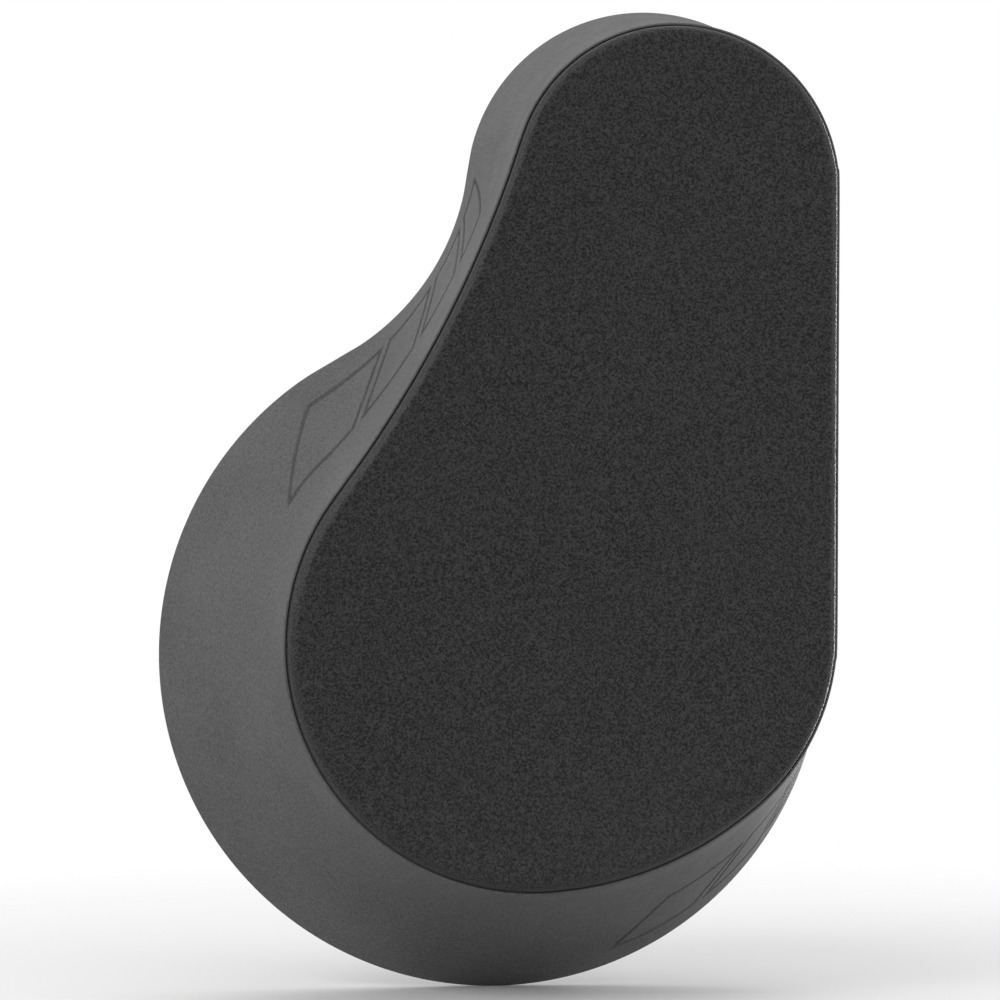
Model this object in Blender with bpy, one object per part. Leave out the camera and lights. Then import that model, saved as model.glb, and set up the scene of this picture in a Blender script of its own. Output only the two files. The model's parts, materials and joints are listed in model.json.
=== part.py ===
"""Hand-held kick paddle: a moulded foam target with a hand grip and two forearm straps.

Frame: metres, +Z up. The origin is the middle of the hand grip. The strike face looks along -Y,
the straight side of the target looks along +X, and +Z runs from the hand along the forearm.
"""

import math

import bmesh
import bpy
from mathutils import Matrix, Vector

MM = 0.001
GAP = 0.3 * MM  # between touching pieces
FOAM_GAP = 0.5 * MM  # between the foam layers and the curved wall around them

# Body: depths are counted from the plane of the back rim towards the strike face.
BACK_Y = -14 * MM
SHELL_DEPTH = 70 * MM
SHELL_WALL = 7 * MM
SHELL_FRONT_WALL = 6 * MM
FACE_PANEL_THICKNESS = 4.7 * MM
FACE_EDGE_RADIUS = 3 * MM
RIM_RADIUS = 3 * MM
LIP_WIDTH = 1.0 * MM
FLARE_POWER = 1.25
RIM_ANGLES = (90, 45, 0)
FACE_EDGE_ANGLES = (0, 30, 60, 90)

# Outlines as (x, z) seen from the strike face. Each starts at the top of the straight side, heading
# up, and follows tangent arcs (radius, degrees turned to the left; a negative radius turns right),
# grouped in runs: round the top lobe, down the hollow side and round the big lobe.
BACK_START = (76.8 * MM, 165.7 * MM)
BACK_RUNS = (
    ((70.1 * MM, 173.4),),
    ((-95.5 * MM, 55.7),),
    ((129.8 * MM, 242.3),),
)
FRONT_START = (72.0 * MM, 161.8 * MM)
FRONT_RUNS = (
    ((61.9 * MM, 162.4),),
    ((-438.4 * MM, 19.7),),
    ((93.6 * MM, 130.5), (134.0 * MM, 37.4), (85.4 * MM, 49.4)),
)
RUN_POINTS = (20, 8, 30)
SIDE_POINTS = 3

# Layers inside the shell, as (nearer, further) depths from the back rim.
BACK_COVER = (0.3 * MM, 3.0 * MM)
REAR_FOAM = (3.3 * MM, 33.7 * MM)
BACKING_BOARD = (34.0 * MM, 38.0 * MM)
CORE_FOAM = (40.0 * MM, 50.0 * MM)
IMPACT_FOAM = (50.3 * MM, 63.7 * MM)
CAVITY_DEPTHS = (0, RIM_RADIUS, 18 * MM, 34 * MM, 48 * MM, SHELL_DEPTH - SHELL_FRONT_WALL)
OUTER_DEPTHS = (14 * MM, 28 * MM, 42 * MM, 56 * MM, SHELL_DEPTH - LIP_WIDTH)

# Hand well and its moulded liner: half sizes along X and Z, and corner radii.
WELL_HALF = (50 * MM, 36 * MM)
WELL_CORNER = 16 * MM
WELL_DEPTH = 32.2 * MM
LINER_WALL = 1.5 * MM
FLANGE_HALF = (68 * MM, 43 * MM)
FLANGE_CORNER = 14 * MM
CORNER_STEPS = 6
CUT_MARGIN = 5 * MM  # how far cutters run past the material

# Hand grip: a steel tube in a soft sleeve, held by two moulded brackets.
BAR_RADIUS = 8 * MM
BAR_WALL = 1.5 * MM
BAR_HALF_LENGTH = 62.5 * MM
BAR_SIDES = 24
SLEEVE_HALF_LENGTH = 49.5 * MM
SLEEVE_RADIUS = 14.0 * MM
SLEEVE_CROWN = 1.6 * MM
SLEEVE_RIDGES = 4
SLEEVE_RIDGE_HEIGHT = 0.5 * MM
SLEEVE_END_ROUND = 1.5 * MM
SLEEVE_STEPS = 20
SLEEVE_SIDES = 18
BRACKET_INNER_X = 50.5 * MM
BRACKET_WIDTH = 15 * MM
BRACKET_RADIUS = 13 * MM
BRACKET_FOOT_HALF = 24 * MM
BRACKET_FOOT_THICKNESS = 5 * MM
BRACKET_BORE_DEPTH = 12.5 * MM
BRACKET_SCREW_Z = 19.5 * MM
BRACKET_BEVEL = 0.8 * MM
BRACKET_BEVEL_SEGMENTS = 2
BRACKET_SHARP_EDGE = math.radians(40)
BRACKET_HEAD_STEPS = 12

# Fasteners: shank radius, head radius, head height, tee nut barrel and flange radii.
GRIP_SCREW = {
    "shank": 2.4 * MM,
    "head": 4.4 * MM,
    "height": 2.8 * MM,
    "barrel": 3.6 * MM,
    "flange": 6.5 * MM,
}
STRAP_SCREW = {
    "shank": 1.9 * MM,
    "head": 3.4 * MM,
    "height": 2.2 * MM,
    "barrel": 3.2 * MM,
    "flange": 6 * MM,
}
TEE_NUT_FLANGE = 1.2 * MM
TEE_NUT_HEIGHT = 4.7 * MM
SCREW_SIDES = 10
SCREW_END_RECESS = 0.1 * MM
# Pan head from its top, as shares of the head's height and radius.
PAN_HEAD = ((0, 0.62), (0.35, 0.92), (0.6, 1), (1, 1))

# Straps: webbing that pivots on wire loops at both sides of the forearm.
STRAPS = {
    "lower": {"centre_x": 0, "half_span": 46 * MM, "centre_z": 80 * MM, "rise": 52 * MM},
    "upper": {"centre_x": 9 * MM, "half_span": 45 * MM, "centre_z": 148 * MM, "rise": 57 * MM},
}
PIVOT_Y = BACK_Y + 7 * MM
WEBBING_WIDTH = 38 * MM
WEBBING = 1.8 * MM
PATCH = 1.2 * MM
PATCH_WIDTH = 34 * MM
EYE_INNER = 2.6 * MM
EYE_OUTER = 4.6 * MM
EYE_SIDES = 16
SEWN_LENGTH = 24 * MM
SEWN_STEPS = 6
SEWN_EDGE = 1.5  # degrees that the end of the doubled webbing takes
OVERLAP_LIFT = WEBBING + 2 * PATCH + 3 * GAP
LIFT_FROM = 25
LIFT_TO = 85
LONG_END = 140
SHORT_END = 88
LOOP_PATCH_ARC = (92, 158)
HOOK_PATCH_ARC = (104, 138)
TAB_ARC = (124, 153)
TAB_THICKNESS = 1.6 * MM
TAB_WIDTH = 30 * MM
TAB_FLARE = 4 * MM
TAB_FLARE_FROM = LONG_END - 4
ARC_STEP = 6

# Wire loops that the straps pivot on.
WIRE_RADIUS = 2.0 * MM
WIRE_HALF_LENGTH = 22.5 * MM
WIRE_BEND = 3 * MM
WIRE_BEND_STEPS = 3
WIRE_SIDES = 8
LOOP_FOOT_Z = (20.5 * MM, 34 * MM)
LOOP_FOOT_HALF_WIDTH = 6 * MM
LOOP_FOOT_THICKNESS = 1.6 * MM
LOOP_FOOT_CORNER = 4.8 * MM
LOOP_SCREW_Z = 29.5 * MM

# Forearm cushion on the back cover.
CUSHION_CENTRE = (6 * MM, 128 * MM)
CUSHION_HALF = (32 * MM, 76 * MM)
CUSHION_CORNER = 26 * MM
CUSHION_HEIGHT = 11 * MM
# Side of the cushion from the cover up: share of the height, and how far the outline draws in.
CUSHION_SIDE = ((0, 0), (0.45, 0), (0.85, 2.7 * MM), (1, 9.6 * MM))

SMOOTH_ANGLE = math.radians(35)

# Finishes: base colour, roughness and metallic value.
FINISHES = {
    "face_skin": ((0.018, 0.018, 0.018), 0.62, 0.0),
    "body_skin": ((0.075, 0.075, 0.075), 0.55, 0.0),
    "foam_grey": ((0.16, 0.16, 0.17), 0.9, 0.0),
    "foam_black": ((0.05, 0.05, 0.05), 0.9, 0.0),
    "board": ((0.42, 0.30, 0.18), 0.7, 0.0),
    "back_fabric": ((0.03, 0.03, 0.032), 0.85, 0.0),
    "liner_plastic": ((0.04, 0.04, 0.042), 0.5, 0.0),
    "bracket_plastic": ((0.025, 0.025, 0.027), 0.45, 0.0),
    "grip_rubber": ((0.02, 0.02, 0.02), 0.75, 0.0),
    "cushion_fabric": ((0.05, 0.05, 0.053), 0.9, 0.0),
    "webbing": ((0.025, 0.025, 0.025), 0.85, 0.0),
    "fastener_tape": ((0.035, 0.035, 0.037), 0.95, 0.0),
    "steel": ((0.62, 0.62, 0.64), 0.3, 1.0),
}


def clear_scene():
    for old in list(bpy.data.objects):
        bpy.data.objects.remove(old, do_unlink=True)


def finish_material(name):
    material = bpy.data.materials.get(name)
    if material:
        return material
    colour, roughness, metallic = FINISHES[name]
    material = bpy.data.materials.new(name)
    material.use_nodes = True
    shader = material.node_tree.nodes["Principled BSDF"]
    shader.inputs["Base Color"].default_value = (*colour, 1)
    shader.inputs["Roughness"].default_value = roughness
    shader.inputs["Metallic"].default_value = metallic
    return material


def add_object(name, bm, finish):
    """A new object from a bmesh, with faces turned outwards and round surfaces shaded smooth."""
    bmesh.ops.recalc_face_normals(bm, faces=bm.faces)
    mesh = bpy.data.meshes.new(name)
    bm.to_mesh(mesh)
    bm.free()
    mesh.shade_smooth()
    mesh.set_sharp_from_angle(angle=SMOOTH_ANGLE)
    obj = bpy.data.objects.new(name, mesh)
    bpy.context.scene.collection.objects.link(obj)
    mesh.materials.append(finish_material(finish))
    return obj


def add_boolean(obj, cutter, operation="DIFFERENCE"):
    cutter.hide_render = True
    cutter.display_type = "WIRE"
    modifier = obj.modifiers.new(cutter.name, "BOOLEAN")
    modifier.operation = operation
    modifier.solver = "EXACT"
    modifier.object = cutter


def move_origin(obj, point):
    """Puts the object's origin on its hinge axis and leaves its shape where it is."""
    obj.data.transform(Matrix.Translation(-Vector(point)))
    obj.location = point


def bridge_rings(bm, rings, capped=True):
    """Quads between rings of equal length, closed by a flat cap at each end or joined end to end."""
    rows = [[bm.verts.new(point) for point in ring] for ring in rings]
    pairs = list(zip(rows, rows[1:]))
    if capped:
        bm.faces.new(rows[0])
        bm.faces.new(rows[-1])
    else:
        pairs.append((rows[-1], rows[0]))
    for near, far in pairs:
        for i in range(len(near)):
            j = (i + 1) % len(near)
            bm.faces.new((near[i], near[j], far[j], far[i]))


def loft(name, rings, finish, capped=True):
    bm = bmesh.new()
    bridge_rings(bm, rings, capped)
    return add_object(name, bm, finish)


# ---- outlines -------------------------------------------------------------------------------------


def run_points(start, heading, arcs, count):
    """Points at equal turns along tangent arcs, with the end point and heading of the run."""
    total = sum(turn for _, turn in arcs)
    points = []
    for k in range(count):
        wanted = total * k / count
        position, direction = Vector(start), heading
        for radius, turn in arcs:
            step = min(turn, wanted)
            position, direction = arc_end(position, direction, radius, step)
            wanted -= step
        points.append(position)
    position, direction = Vector(start), heading
    for radius, turn in arcs:
        position, direction = arc_end(position, direction, radius, turn)
    return points, position, direction


def arc_end(position, heading, radius, degrees):
    """Where an arc ends: to the left for a positive radius, to the right for a negative one."""
    turn = math.radians(degrees) * (1 if radius > 0 else -1)
    centre = position + radius * Vector((-math.sin(heading), math.cos(heading)))
    after = heading + turn
    return centre - radius * Vector((-math.sin(after), math.cos(after))), after


def closed_outline(start, runs):
    """The whole outline: the runs of arcs, then the straight side back to the start."""
    points = []
    position, heading = Vector(start), math.pi / 2
    for arcs, count in zip(runs, RUN_POINTS):
        added, position, heading = run_points(position, heading, arcs, count)
        points += added
    side = Vector(start) - position
    points += [position + side * k / SIDE_POINTS for k in range(SIDE_POINTS)]
    return points


BACK_OUTLINE = closed_outline(BACK_START, BACK_RUNS)
FRONT_OUTLINE = closed_outline(FRONT_START, FRONT_RUNS)


def inset_outline(points, distance):
    """Moves each point of an anticlockwise outline inwards along its normal."""
    moved = []
    for i, point in enumerate(points):
        along = points[(i + 1) % len(points)] - points[i - 1]
        moved.append(point + distance * Vector((-along.y, along.x)).normalized())
    return moved


def section(depth, inset=0.0):
    """A ring of the body at a depth: the wall flares from the front outline to the back one at the rim."""
    from_rim = min(max(depth, RIM_RADIUS), SHELL_DEPTH) - RIM_RADIUS
    flare = (1 - from_rim / (SHELL_DEPTH - RIM_RADIUS)) ** FLARE_POWER
    points = [front.lerp(back, flare) for front, back in zip(FRONT_OUTLINE, BACK_OUTLINE)]
    return [Vector((p.x, BACK_Y - depth, p.y)) for p in inset_outline(points, inset)]


def layer_rings(depths, inset):
    """Rings of a layer inside the shell, with one wherever the cavity wall bends."""
    near, far = depths
    bends = [depth for depth in CAVITY_DEPTHS if near < depth < far]
    return [section(depth, inset) for depth in (near, *bends, far)]


def rounded_rectangle(centre, half, corner):
    """Points (x, z) of a rectangle with round corners."""
    points = []
    for quarter in range(4):
        sign_x = 1 if quarter in (0, 3) else -1
        sign_z = 1 if quarter in (0, 1) else -1
        middle_x = centre[0] + sign_x * (half[0] - corner)
        middle_z = centre[1] + sign_z * (half[1] - corner)
        for k in range(CORNER_STEPS + 1):
            angle = math.pi / 2 * (quarter + k / CORNER_STEPS)
            points.append((middle_x + corner * math.cos(angle), middle_z + corner * math.sin(angle)))
    return points


def at_depth(points, depth):
    return [Vector((x, BACK_Y - depth, z)) for x, z in points]


# ---- simple turned and swept shapes ---------------------------------------------------------------


def circle_ring(centre, normal, radius, sides):
    """Points of a circle around a centre, square to a normal that lies along X, Y or Z."""
    across = Vector((normal[1], normal[2], normal[0]))
    other = Vector(normal).cross(across)
    turns = [2 * math.pi * k / sides for k in range(sides)]
    return [Vector(centre) + radius * (math.cos(a) * across + math.sin(a) * other) for a in turns]


def turned_rings(origin, normal, profile, sides):
    """Rings of a turned shape from (distance along the normal, radius) pairs."""
    return [circle_ring(Vector(origin) + Vector(normal) * s, normal, r, sides) for s, r in profile]


def joined_shapes(name, ring_lists, finish, capped=True):
    """Several separate solids in one cutter, such as a set of parallel pins."""
    bm = bmesh.new()
    for rings in ring_lists:
        bridge_rings(bm, rings, capped)
    return add_object(name, bm, finish)


# ---- body -----------------------------------------------------------------------------------------


def make_face_panel():
    """The textured panel that is struck, with a rounded front edge."""
    back = SHELL_DEPTH + GAP
    front = SHELL_DEPTH + GAP + FACE_PANEL_THICKNESS
    rings = [section(back, LIP_WIDTH)]
    for angle in FACE_EDGE_ANGLES:
        turn = math.radians(angle)
        inset = FACE_EDGE_RADIUS * (1 - math.cos(turn))
        depth = front - FACE_EDGE_RADIUS * (1 - math.sin(turn))
        rings.append(section(depth, LIP_WIDTH + inset))
    loft("face_panel", rings, "face_skin")


def make_body_shell():
    """A moulded cup: its wall flares out to the back rim, and its cavity holds the foam layers."""
    cavity = [section(depth, SHELL_WALL) for depth in reversed(CAVITY_DEPTHS)]
    rim = []
    for angle in RIM_ANGLES:
        turn = math.radians(angle)
        rim.append(section(RIM_RADIUS * (1 - math.sin(turn)), RIM_RADIUS * (1 - math.cos(turn))))
    wall = [section(depth) for depth in OUTER_DEPTHS]
    lip = [section(SHELL_DEPTH, LIP_WIDTH / 2)]
    loft("body_shell", cavity + rim + wall + lip, "body_skin")


def make_well_cutter():
    half = [size + LINER_WALL + GAP for size in WELL_HALF]
    outline = rounded_rectangle((0, 0), half, WELL_CORNER + LINER_WALL + GAP)
    depths = (-CUT_MARGIN, REAR_FOAM[1] + GAP)
    return loft("well_cutter", [at_depth(outline, depth) for depth in depths], "foam_black")


def make_layers(well, grip_holes, strap_holes, nut_holes):
    """The back cover, the foam layers and the board, with the hand well and the screw holes."""
    inset = SHELL_WALL + FOAM_GAP
    back_cover = loft("back_cover", layer_rings(BACK_COVER, inset), "back_fabric")
    rear_foam = loft("rear_foam", layer_rings(REAR_FOAM, inset), "foam_grey")
    for layer in (back_cover, rear_foam):
        add_boolean(layer, well)
        add_boolean(layer, grip_holes)
        add_boolean(layer, strap_holes)
    board = loft("backing_board", layer_rings(BACKING_BOARD, inset), "board")
    add_boolean(board, nut_holes)
    loft("core_foam", layer_rings(CORE_FOAM, inset), "foam_black")
    loft("impact_foam", layer_rings(IMPACT_FOAM, inset), "foam_grey")


def make_well_liner(grip_holes):
    """The moulded tray of the hand well, with a flange that lies on the back cover."""
    inner = rounded_rectangle((0, 0), WELL_HALF, WELL_CORNER)
    outer_half = [size + LINER_WALL for size in WELL_HALF]
    outer = rounded_rectangle((0, 0), outer_half, WELL_CORNER + LINER_WALL)
    flange = rounded_rectangle((0, 0), FLANGE_HALF, FLANGE_CORNER)
    rings = [
        at_depth(inner, WELL_DEPTH),
        at_depth(inner, -LINER_WALL),
        at_depth(flange, -LINER_WALL),
        at_depth(flange, 0),
        at_depth(outer, 0),
        at_depth(outer, WELL_DEPTH + LINER_WALL),
    ]
    liner = loft("hand_well_liner", rings, "liner_plastic")
    add_boolean(liner, grip_holes)


def make_forearm_cushion():
    """A soft cushion under the forearm: a plain crowned block."""
    base_depth = BACK_COVER[0] - GAP
    rings = []
    for share, inset in CUSHION_SIDE:
        half = [size - inset for size in CUSHION_HALF]
        outline = rounded_rectangle(CUSHION_CENTRE, half, CUSHION_CORNER - inset)
        rings.append(at_depth(outline, base_depth - share * CUSHION_HEIGHT))
    loft("forearm_cushion", rings, "cushion_fabric")


# ---- fasteners ------------------------------------------------------------------------------------


def grip_screw_places():
    middle = BRACKET_INNER_X + BRACKET_WIDTH / 2
    return [(sx * middle, sz * BRACKET_SCREW_Z) for sx in (-1, 1) for sz in (-1, 1)]


def strap_screw_places(strap):
    return [
        (strap["centre_x"] + sx * strap["half_span"], strap["centre_z"] + sz * LOOP_SCREW_Z)
        for sx in (-1, 1)
        for sz in (-1, 1)
    ]


def make_hole_cutter(name, places, radius, depths):
    """One cutter of parallel pins that run along the depth at each fastener's place."""
    pins = []
    for x, z in places:
        profile = ((depths[0], radius), (depths[1], radius))
        pins.append(turned_rings((x, BACK_Y, z), (0, -1, 0), profile, SCREW_SIDES))
    return joined_shapes(name, pins, "foam_black")


def place_copies(prefix, places, profile, finish, capped):
    """One turned fastener for each place, numbered from 1; the copies share one mesh."""
    rings = turned_rings((0, 0, 0), (0, -1, 0), profile, SCREW_SIDES)
    obj = loft(prefix + "_1", rings, finish, capped)
    obj.location = (places[0][0], BACK_Y, places[0][1])
    for number, (x, z) in enumerate(places[1:], start=2):
        copy = bpy.data.objects.new(f"{prefix}_{number}", obj.data)
        copy.location = (x, BACK_Y, z)
        bpy.context.scene.collection.objects.link(copy)


def make_screws(prefix, places, size, seat_depth):
    """Pan-head screws: the head stands on its seat and the shank ends in the tee nut."""
    end_depth = BACKING_BOARD[1] + GAP + TEE_NUT_FLANGE - SCREW_END_RECESS
    top = seat_depth - size["height"]
    profile = [(top + share * size["height"], width * size["head"]) for share, width in PAN_HEAD]
    profile += [(seat_depth, size["shank"]), (end_depth, size["shank"])]
    place_copies(prefix, places, profile, "steel", True)


def make_tee_nuts(prefix, places, size):
    """Tee nuts in the board: a barrel that takes the screw, and a flange on the board's front."""
    flange_near = BACKING_BOARD[1] + GAP
    flange_far = flange_near + TEE_NUT_FLANGE
    top = flange_far - TEE_NUT_HEIGHT
    bore = size["shank"] + GAP
    profile = (
        (top, bore),
        (top, size["barrel"]),
        (flange_near, size["barrel"]),
        (flange_near, size["flange"]),
        (flange_far, size["flange"]),
        (flange_far, bore),
    )
    place_copies(prefix, places, profile, "steel", False)


# ---- hand grip ------------------------------------------------------------------------------------


def make_grip_bar():
    """A steel tube across the hand well."""
    bore = BAR_RADIUS - BAR_WALL
    ends = (-BAR_HALF_LENGTH, BAR_HALF_LENGTH)
    profile = [(ends[0], BAR_RADIUS), (ends[1], BAR_RADIUS), (ends[1], bore), (ends[0], bore)]
    loft("grip_bar", turned_rings((0, 0, 0), (1, 0, 0), profile, BAR_SIDES), "steel", capped=False)


def make_grip_sleeve():
    """A soft sleeve with a crowned middle and shallow ridges for the fingers."""
    profile = []
    for k in range(SLEEVE_STEPS + 1):
        along = 2 * k / SLEEVE_STEPS - 1
        crown = SLEEVE_CROWN * (1 - along * along)
        ridge = SLEEVE_RIDGE_HEIGHT * math.cos(math.pi * SLEEVE_RIDGES * along)
        end_round = SLEEVE_END_ROUND if k in (0, SLEEVE_STEPS) else 0
        profile.append((SLEEVE_HALF_LENGTH * along, SLEEVE_RADIUS + crown - ridge - end_round))
    bore = BAR_RADIUS + GAP
    profile += [(SLEEVE_HALF_LENGTH, bore), (-SLEEVE_HALF_LENGTH, bore)]
    rings = turned_rings((0, 0, 0), (1, 0, 0), profile, SLEEVE_SIDES)
    loft("grip_sleeve", rings, "grip_rubber", capped=False)


def bracket_outline():
    """Side view (y, z) of a bracket: a foot, two straight flanks and a round head on the bar's axis."""
    foot_y = BACK_Y + LINER_WALL + GAP
    top_y = foot_y + BRACKET_FOOT_THICKNESS
    points = [(top_y, BRACKET_FOOT_HALF), (top_y, BRACKET_RADIUS)]
    for k in range(BRACKET_HEAD_STEPS + 1):
        angle = math.pi * k / BRACKET_HEAD_STEPS
        points.append((BRACKET_RADIUS * math.sin(angle), BRACKET_RADIUS * math.cos(angle)))
    points += [(top_y, -BRACKET_RADIUS), (top_y, -BRACKET_FOOT_HALF)]
    points += [(foot_y, -BRACKET_FOOT_HALF), (foot_y, BRACKET_FOOT_HALF)]
    return points


def make_bracket(name, side, grip_holes):
    """A moulded saddle that holds one end of the bar in a blind bore."""
    inner = side * BRACKET_INNER_X
    outer = side * (BRACKET_INNER_X + BRACKET_WIDTH)
    rings = [[Vector((x, y, z)) for y, z in bracket_outline()] for x in (inner, outer)]
    bracket = loft(name, rings, "bracket_plastic")
    bevel = bracket.modifiers.new("edges", "BEVEL")
    bevel.width = BRACKET_BEVEL
    bevel.segments = BRACKET_BEVEL_SEGMENTS
    bevel.angle_limit = BRACKET_SHARP_EDGE
    bore_end = side * (BRACKET_INNER_X + BRACKET_BORE_DEPTH)
    bore_start = side * (BRACKET_INNER_X - CUT_MARGIN)
    profile = ((bore_start, BAR_RADIUS + GAP), (bore_end, BAR_RADIUS + GAP))
    bore_rings = turned_rings((0, 0, 0), (1, 0, 0), profile, BAR_SIDES)
    bore = loft(name + "_bore", bore_rings, "bracket_plastic")
    add_boolean(bracket, bore)
    add_boolean(bracket, grip_holes)


# ---- wire loops -----------------------------------------------------------------------------------


def wire_path():
    """Centre line (y, z) of a wire loop: up from one foot, along the pivot and down to the other."""
    low = BACK_Y + LOOP_FOOT_THICKNESS / 2
    bend_z = WIRE_HALF_LENGTH - WIRE_BEND
    points = [(low, WIRE_HALF_LENGTH)]
    for k in range(WIRE_BEND_STEPS + 1):
        angle = math.pi / 2 * k / WIRE_BEND_STEPS
        points.append((PIVOT_Y - WIRE_BEND * (1 - math.sin(angle)), bend_z + WIRE_BEND * math.cos(angle)))
    return points + [(y, -z) for y, z in reversed(points)]


def swept_wire(centre_x, centre_z):
    """Rings of round wire square to the path."""
    path = wire_path()
    rings = []
    for i, (y, z) in enumerate(path):
        before = Vector(path[max(i - 1, 0)])
        after = Vector(path[min(i + 1, len(path) - 1)])
        along = (after - before).normalized()
        across = Vector((0, -along.y, along.x))
        ring = []
        for k in range(WIRE_SIDES):
            angle = 2 * math.pi * k / WIRE_SIDES
            offset = WIRE_RADIUS * (math.cos(angle) * Vector((1, 0, 0)) + math.sin(angle) * across)
            ring.append(Vector((centre_x, y, centre_z + z)) + offset)
        rings.append(ring)
    return rings


def make_wire_loop(name, centre_x, centre_z, strap_holes):
    """A footman loop: round wire standing on two screwed feet."""
    loop = loft(name, swept_wire(centre_x, centre_z), "steel")
    for end, side in (("_upper_foot", 1), ("_lower_foot", -1)):
        inner, outer = LOOP_FOOT_Z
        centre = (centre_x, centre_z + side * (inner + outer) / 2)
        half = (LOOP_FOOT_HALF_WIDTH, (outer - inner) / 2)
        outline = rounded_rectangle(centre, half, LOOP_FOOT_CORNER)
        depths = (0, -LOOP_FOOT_THICKNESS)
        foot = loft(name + end, [at_depth(outline, depth) for depth in depths], "steel")
        add_boolean(loop, foot, "UNION")
    add_boolean(loop, strap_holes)


# ---- straps ---------------------------------------------------------------------------------------


def arch_point(strap, degrees, offset):
    """A point (x, y) on the strap's half ellipse over the forearm, moved outwards by an offset."""
    angle = math.radians(degrees)
    across, rise = strap["half_span"], strap["rise"]
    normal = Vector((math.cos(angle) / across, math.sin(angle) / rise)).normalized()
    on_arch = Vector((strap["centre_x"] + across * math.cos(angle), PIVOT_Y + rise * math.sin(angle)))
    return on_arch + normal * offset


def smooth_step(value, low, high):
    share = min(max((value - low) / (high - low), 0), 1)
    return share * share * (3 - 2 * share)


def arc_degrees(start, end):
    steps = max(2, round(abs(end - start) / ARC_STEP))
    return [start + (end - start) * k / steps for k in range(steps + 1)]


def band_rings(strap, degrees, inner_offset, outer_offset, width):
    """Two rings, one at each edge of a band that follows the arch between two offsets."""
    outer = [arch_point(strap, a, outer_offset(a)) for a in degrees]
    inner = [arch_point(strap, a, inner_offset(a)) for a in reversed(degrees)]
    edges = (strap["centre_z"] - width / 2, strap["centre_z"] + width / 2)
    return [[Vector((p.x, p.y, z)) for p in outer + inner] for z in edges]


def lift(degrees):
    """How far the long strap rides outside the arch, to pass over the short one."""
    return OVERLAP_LIFT * smooth_step(degrees, LIFT_FROM, LIFT_TO)


def make_eye(strap, name, pivot):
    """The sewn eye around the wire, to be joined to its strap."""
    edges = (strap["centre_z"] - WEBBING_WIDTH / 2, strap["centre_z"] + WEBBING_WIDTH / 2)
    profile = ((edges[0], EYE_OUTER), (edges[1], EYE_OUTER), (edges[1], EYE_INNER), (edges[0], EYE_INNER))
    rings = turned_rings((pivot[0], pivot[1], 0), (0, 0, 1), profile, EYE_SIDES)
    return loft(name, rings, "webbing", capped=False)


def sewn_degrees(strap, length):
    """Angle on the arch that a length of webbing from the pivot takes."""
    return math.degrees(length / strap["rise"])


def make_strap(strap, name, from_degrees, to_degrees, rides_outside, pivot):
    """A webbing strap: sewn double near its eye, single beyond."""
    direction = 1 if to_degrees > from_degrees else -1
    first = from_degrees + direction * sewn_degrees(strap, (EYE_INNER + EYE_OUTER) / 2)
    sewn = from_degrees + direction * sewn_degrees(strap, SEWN_LENGTH)
    doubled = [first + (sewn - first) * k / SEWN_STEPS for k in range(SEWN_STEPS + 1)]
    single = arc_degrees(sewn + direction * SEWN_EDGE, to_degrees)

    def base(degrees):
        return lift(degrees) if rides_outside else 0

    def inner_offset(degrees):
        layers = 1.5 if (degrees - sewn) * direction <= 0 else 0.5
        return base(degrees) - layers * WEBBING

    def outer_offset(degrees):
        return base(degrees) + 0.5 * WEBBING

    band = band_rings(strap, doubled + single, inner_offset, outer_offset, WEBBING_WIDTH)
    obj = loft(name, band, "webbing")
    add_boolean(obj, make_eye(strap, name + "_eye", pivot), "UNION")
    move_origin(obj, (pivot[0], pivot[1], strap["centre_z"]))


def make_patch(strap, name, arc, near_offset, pivot):
    """A strip of hook or loop tape along the arch."""
    rings = band_rings(
        strap,
        arc_degrees(*arc),
        lambda degrees: near_offset,
        lambda degrees: near_offset + PATCH,
        PATCH_WIDTH,
    )
    obj = loft(name, rings, "fastener_tape")
    move_origin(obj, (pivot[0], pivot[1], strap["centre_z"]))


def make_pull_tab(strap, name, pivot):
    """A moulded tab on the end of the long strap, flared outwards for the fingers."""
    near = OVERLAP_LIFT + 0.5 * WEBBING + GAP

    def inner_offset(degrees):
        return near + TAB_FLARE * smooth_step(degrees, TAB_FLARE_FROM, TAB_ARC[1])

    def outer_offset(degrees):
        return inner_offset(degrees) + TAB_THICKNESS

    rings = band_rings(strap, arc_degrees(*TAB_ARC), inner_offset, outer_offset, TAB_WIDTH)
    obj = loft(name, rings, "grip_rubber")
    move_origin(obj, (pivot[0], pivot[1], strap["centre_z"]))


def make_strap_set(side_name, strap, strap_holes):
    """One closure over the forearm: two wire loops, a long strap, a short strap and their tapes."""
    right = (strap["centre_x"] + strap["half_span"], PIVOT_Y)
    left = (strap["centre_x"] - strap["half_span"], PIVOT_Y)
    make_wire_loop(side_name + "_wire_loop_right", right[0], strap["centre_z"], strap_holes)
    make_wire_loop(side_name + "_wire_loop_left", left[0], strap["centre_z"], strap_holes)
    make_strap(strap, side_name + "_long_strap", 0, LONG_END, True, right)
    make_strap(strap, side_name + "_short_strap", 180, SHORT_END, False, left)
    loop_offset = 0.5 * WEBBING + GAP
    make_patch(strap, side_name + "_loop_tape", LOOP_PATCH_ARC, loop_offset, left)
    make_patch(strap, side_name + "_hook_tape", HOOK_PATCH_ARC, loop_offset + PATCH + GAP, right)
    make_pull_tab(strap, side_name + "_pull_tab", right)
    foot_top = -LOOP_FOOT_THICKNESS - GAP
    places = strap_screw_places(strap)
    make_screws(side_name + "_strap_screw", places, STRAP_SCREW, foot_top)
    make_tee_nuts(side_name + "_strap_tee_nut", places, STRAP_SCREW)


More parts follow.
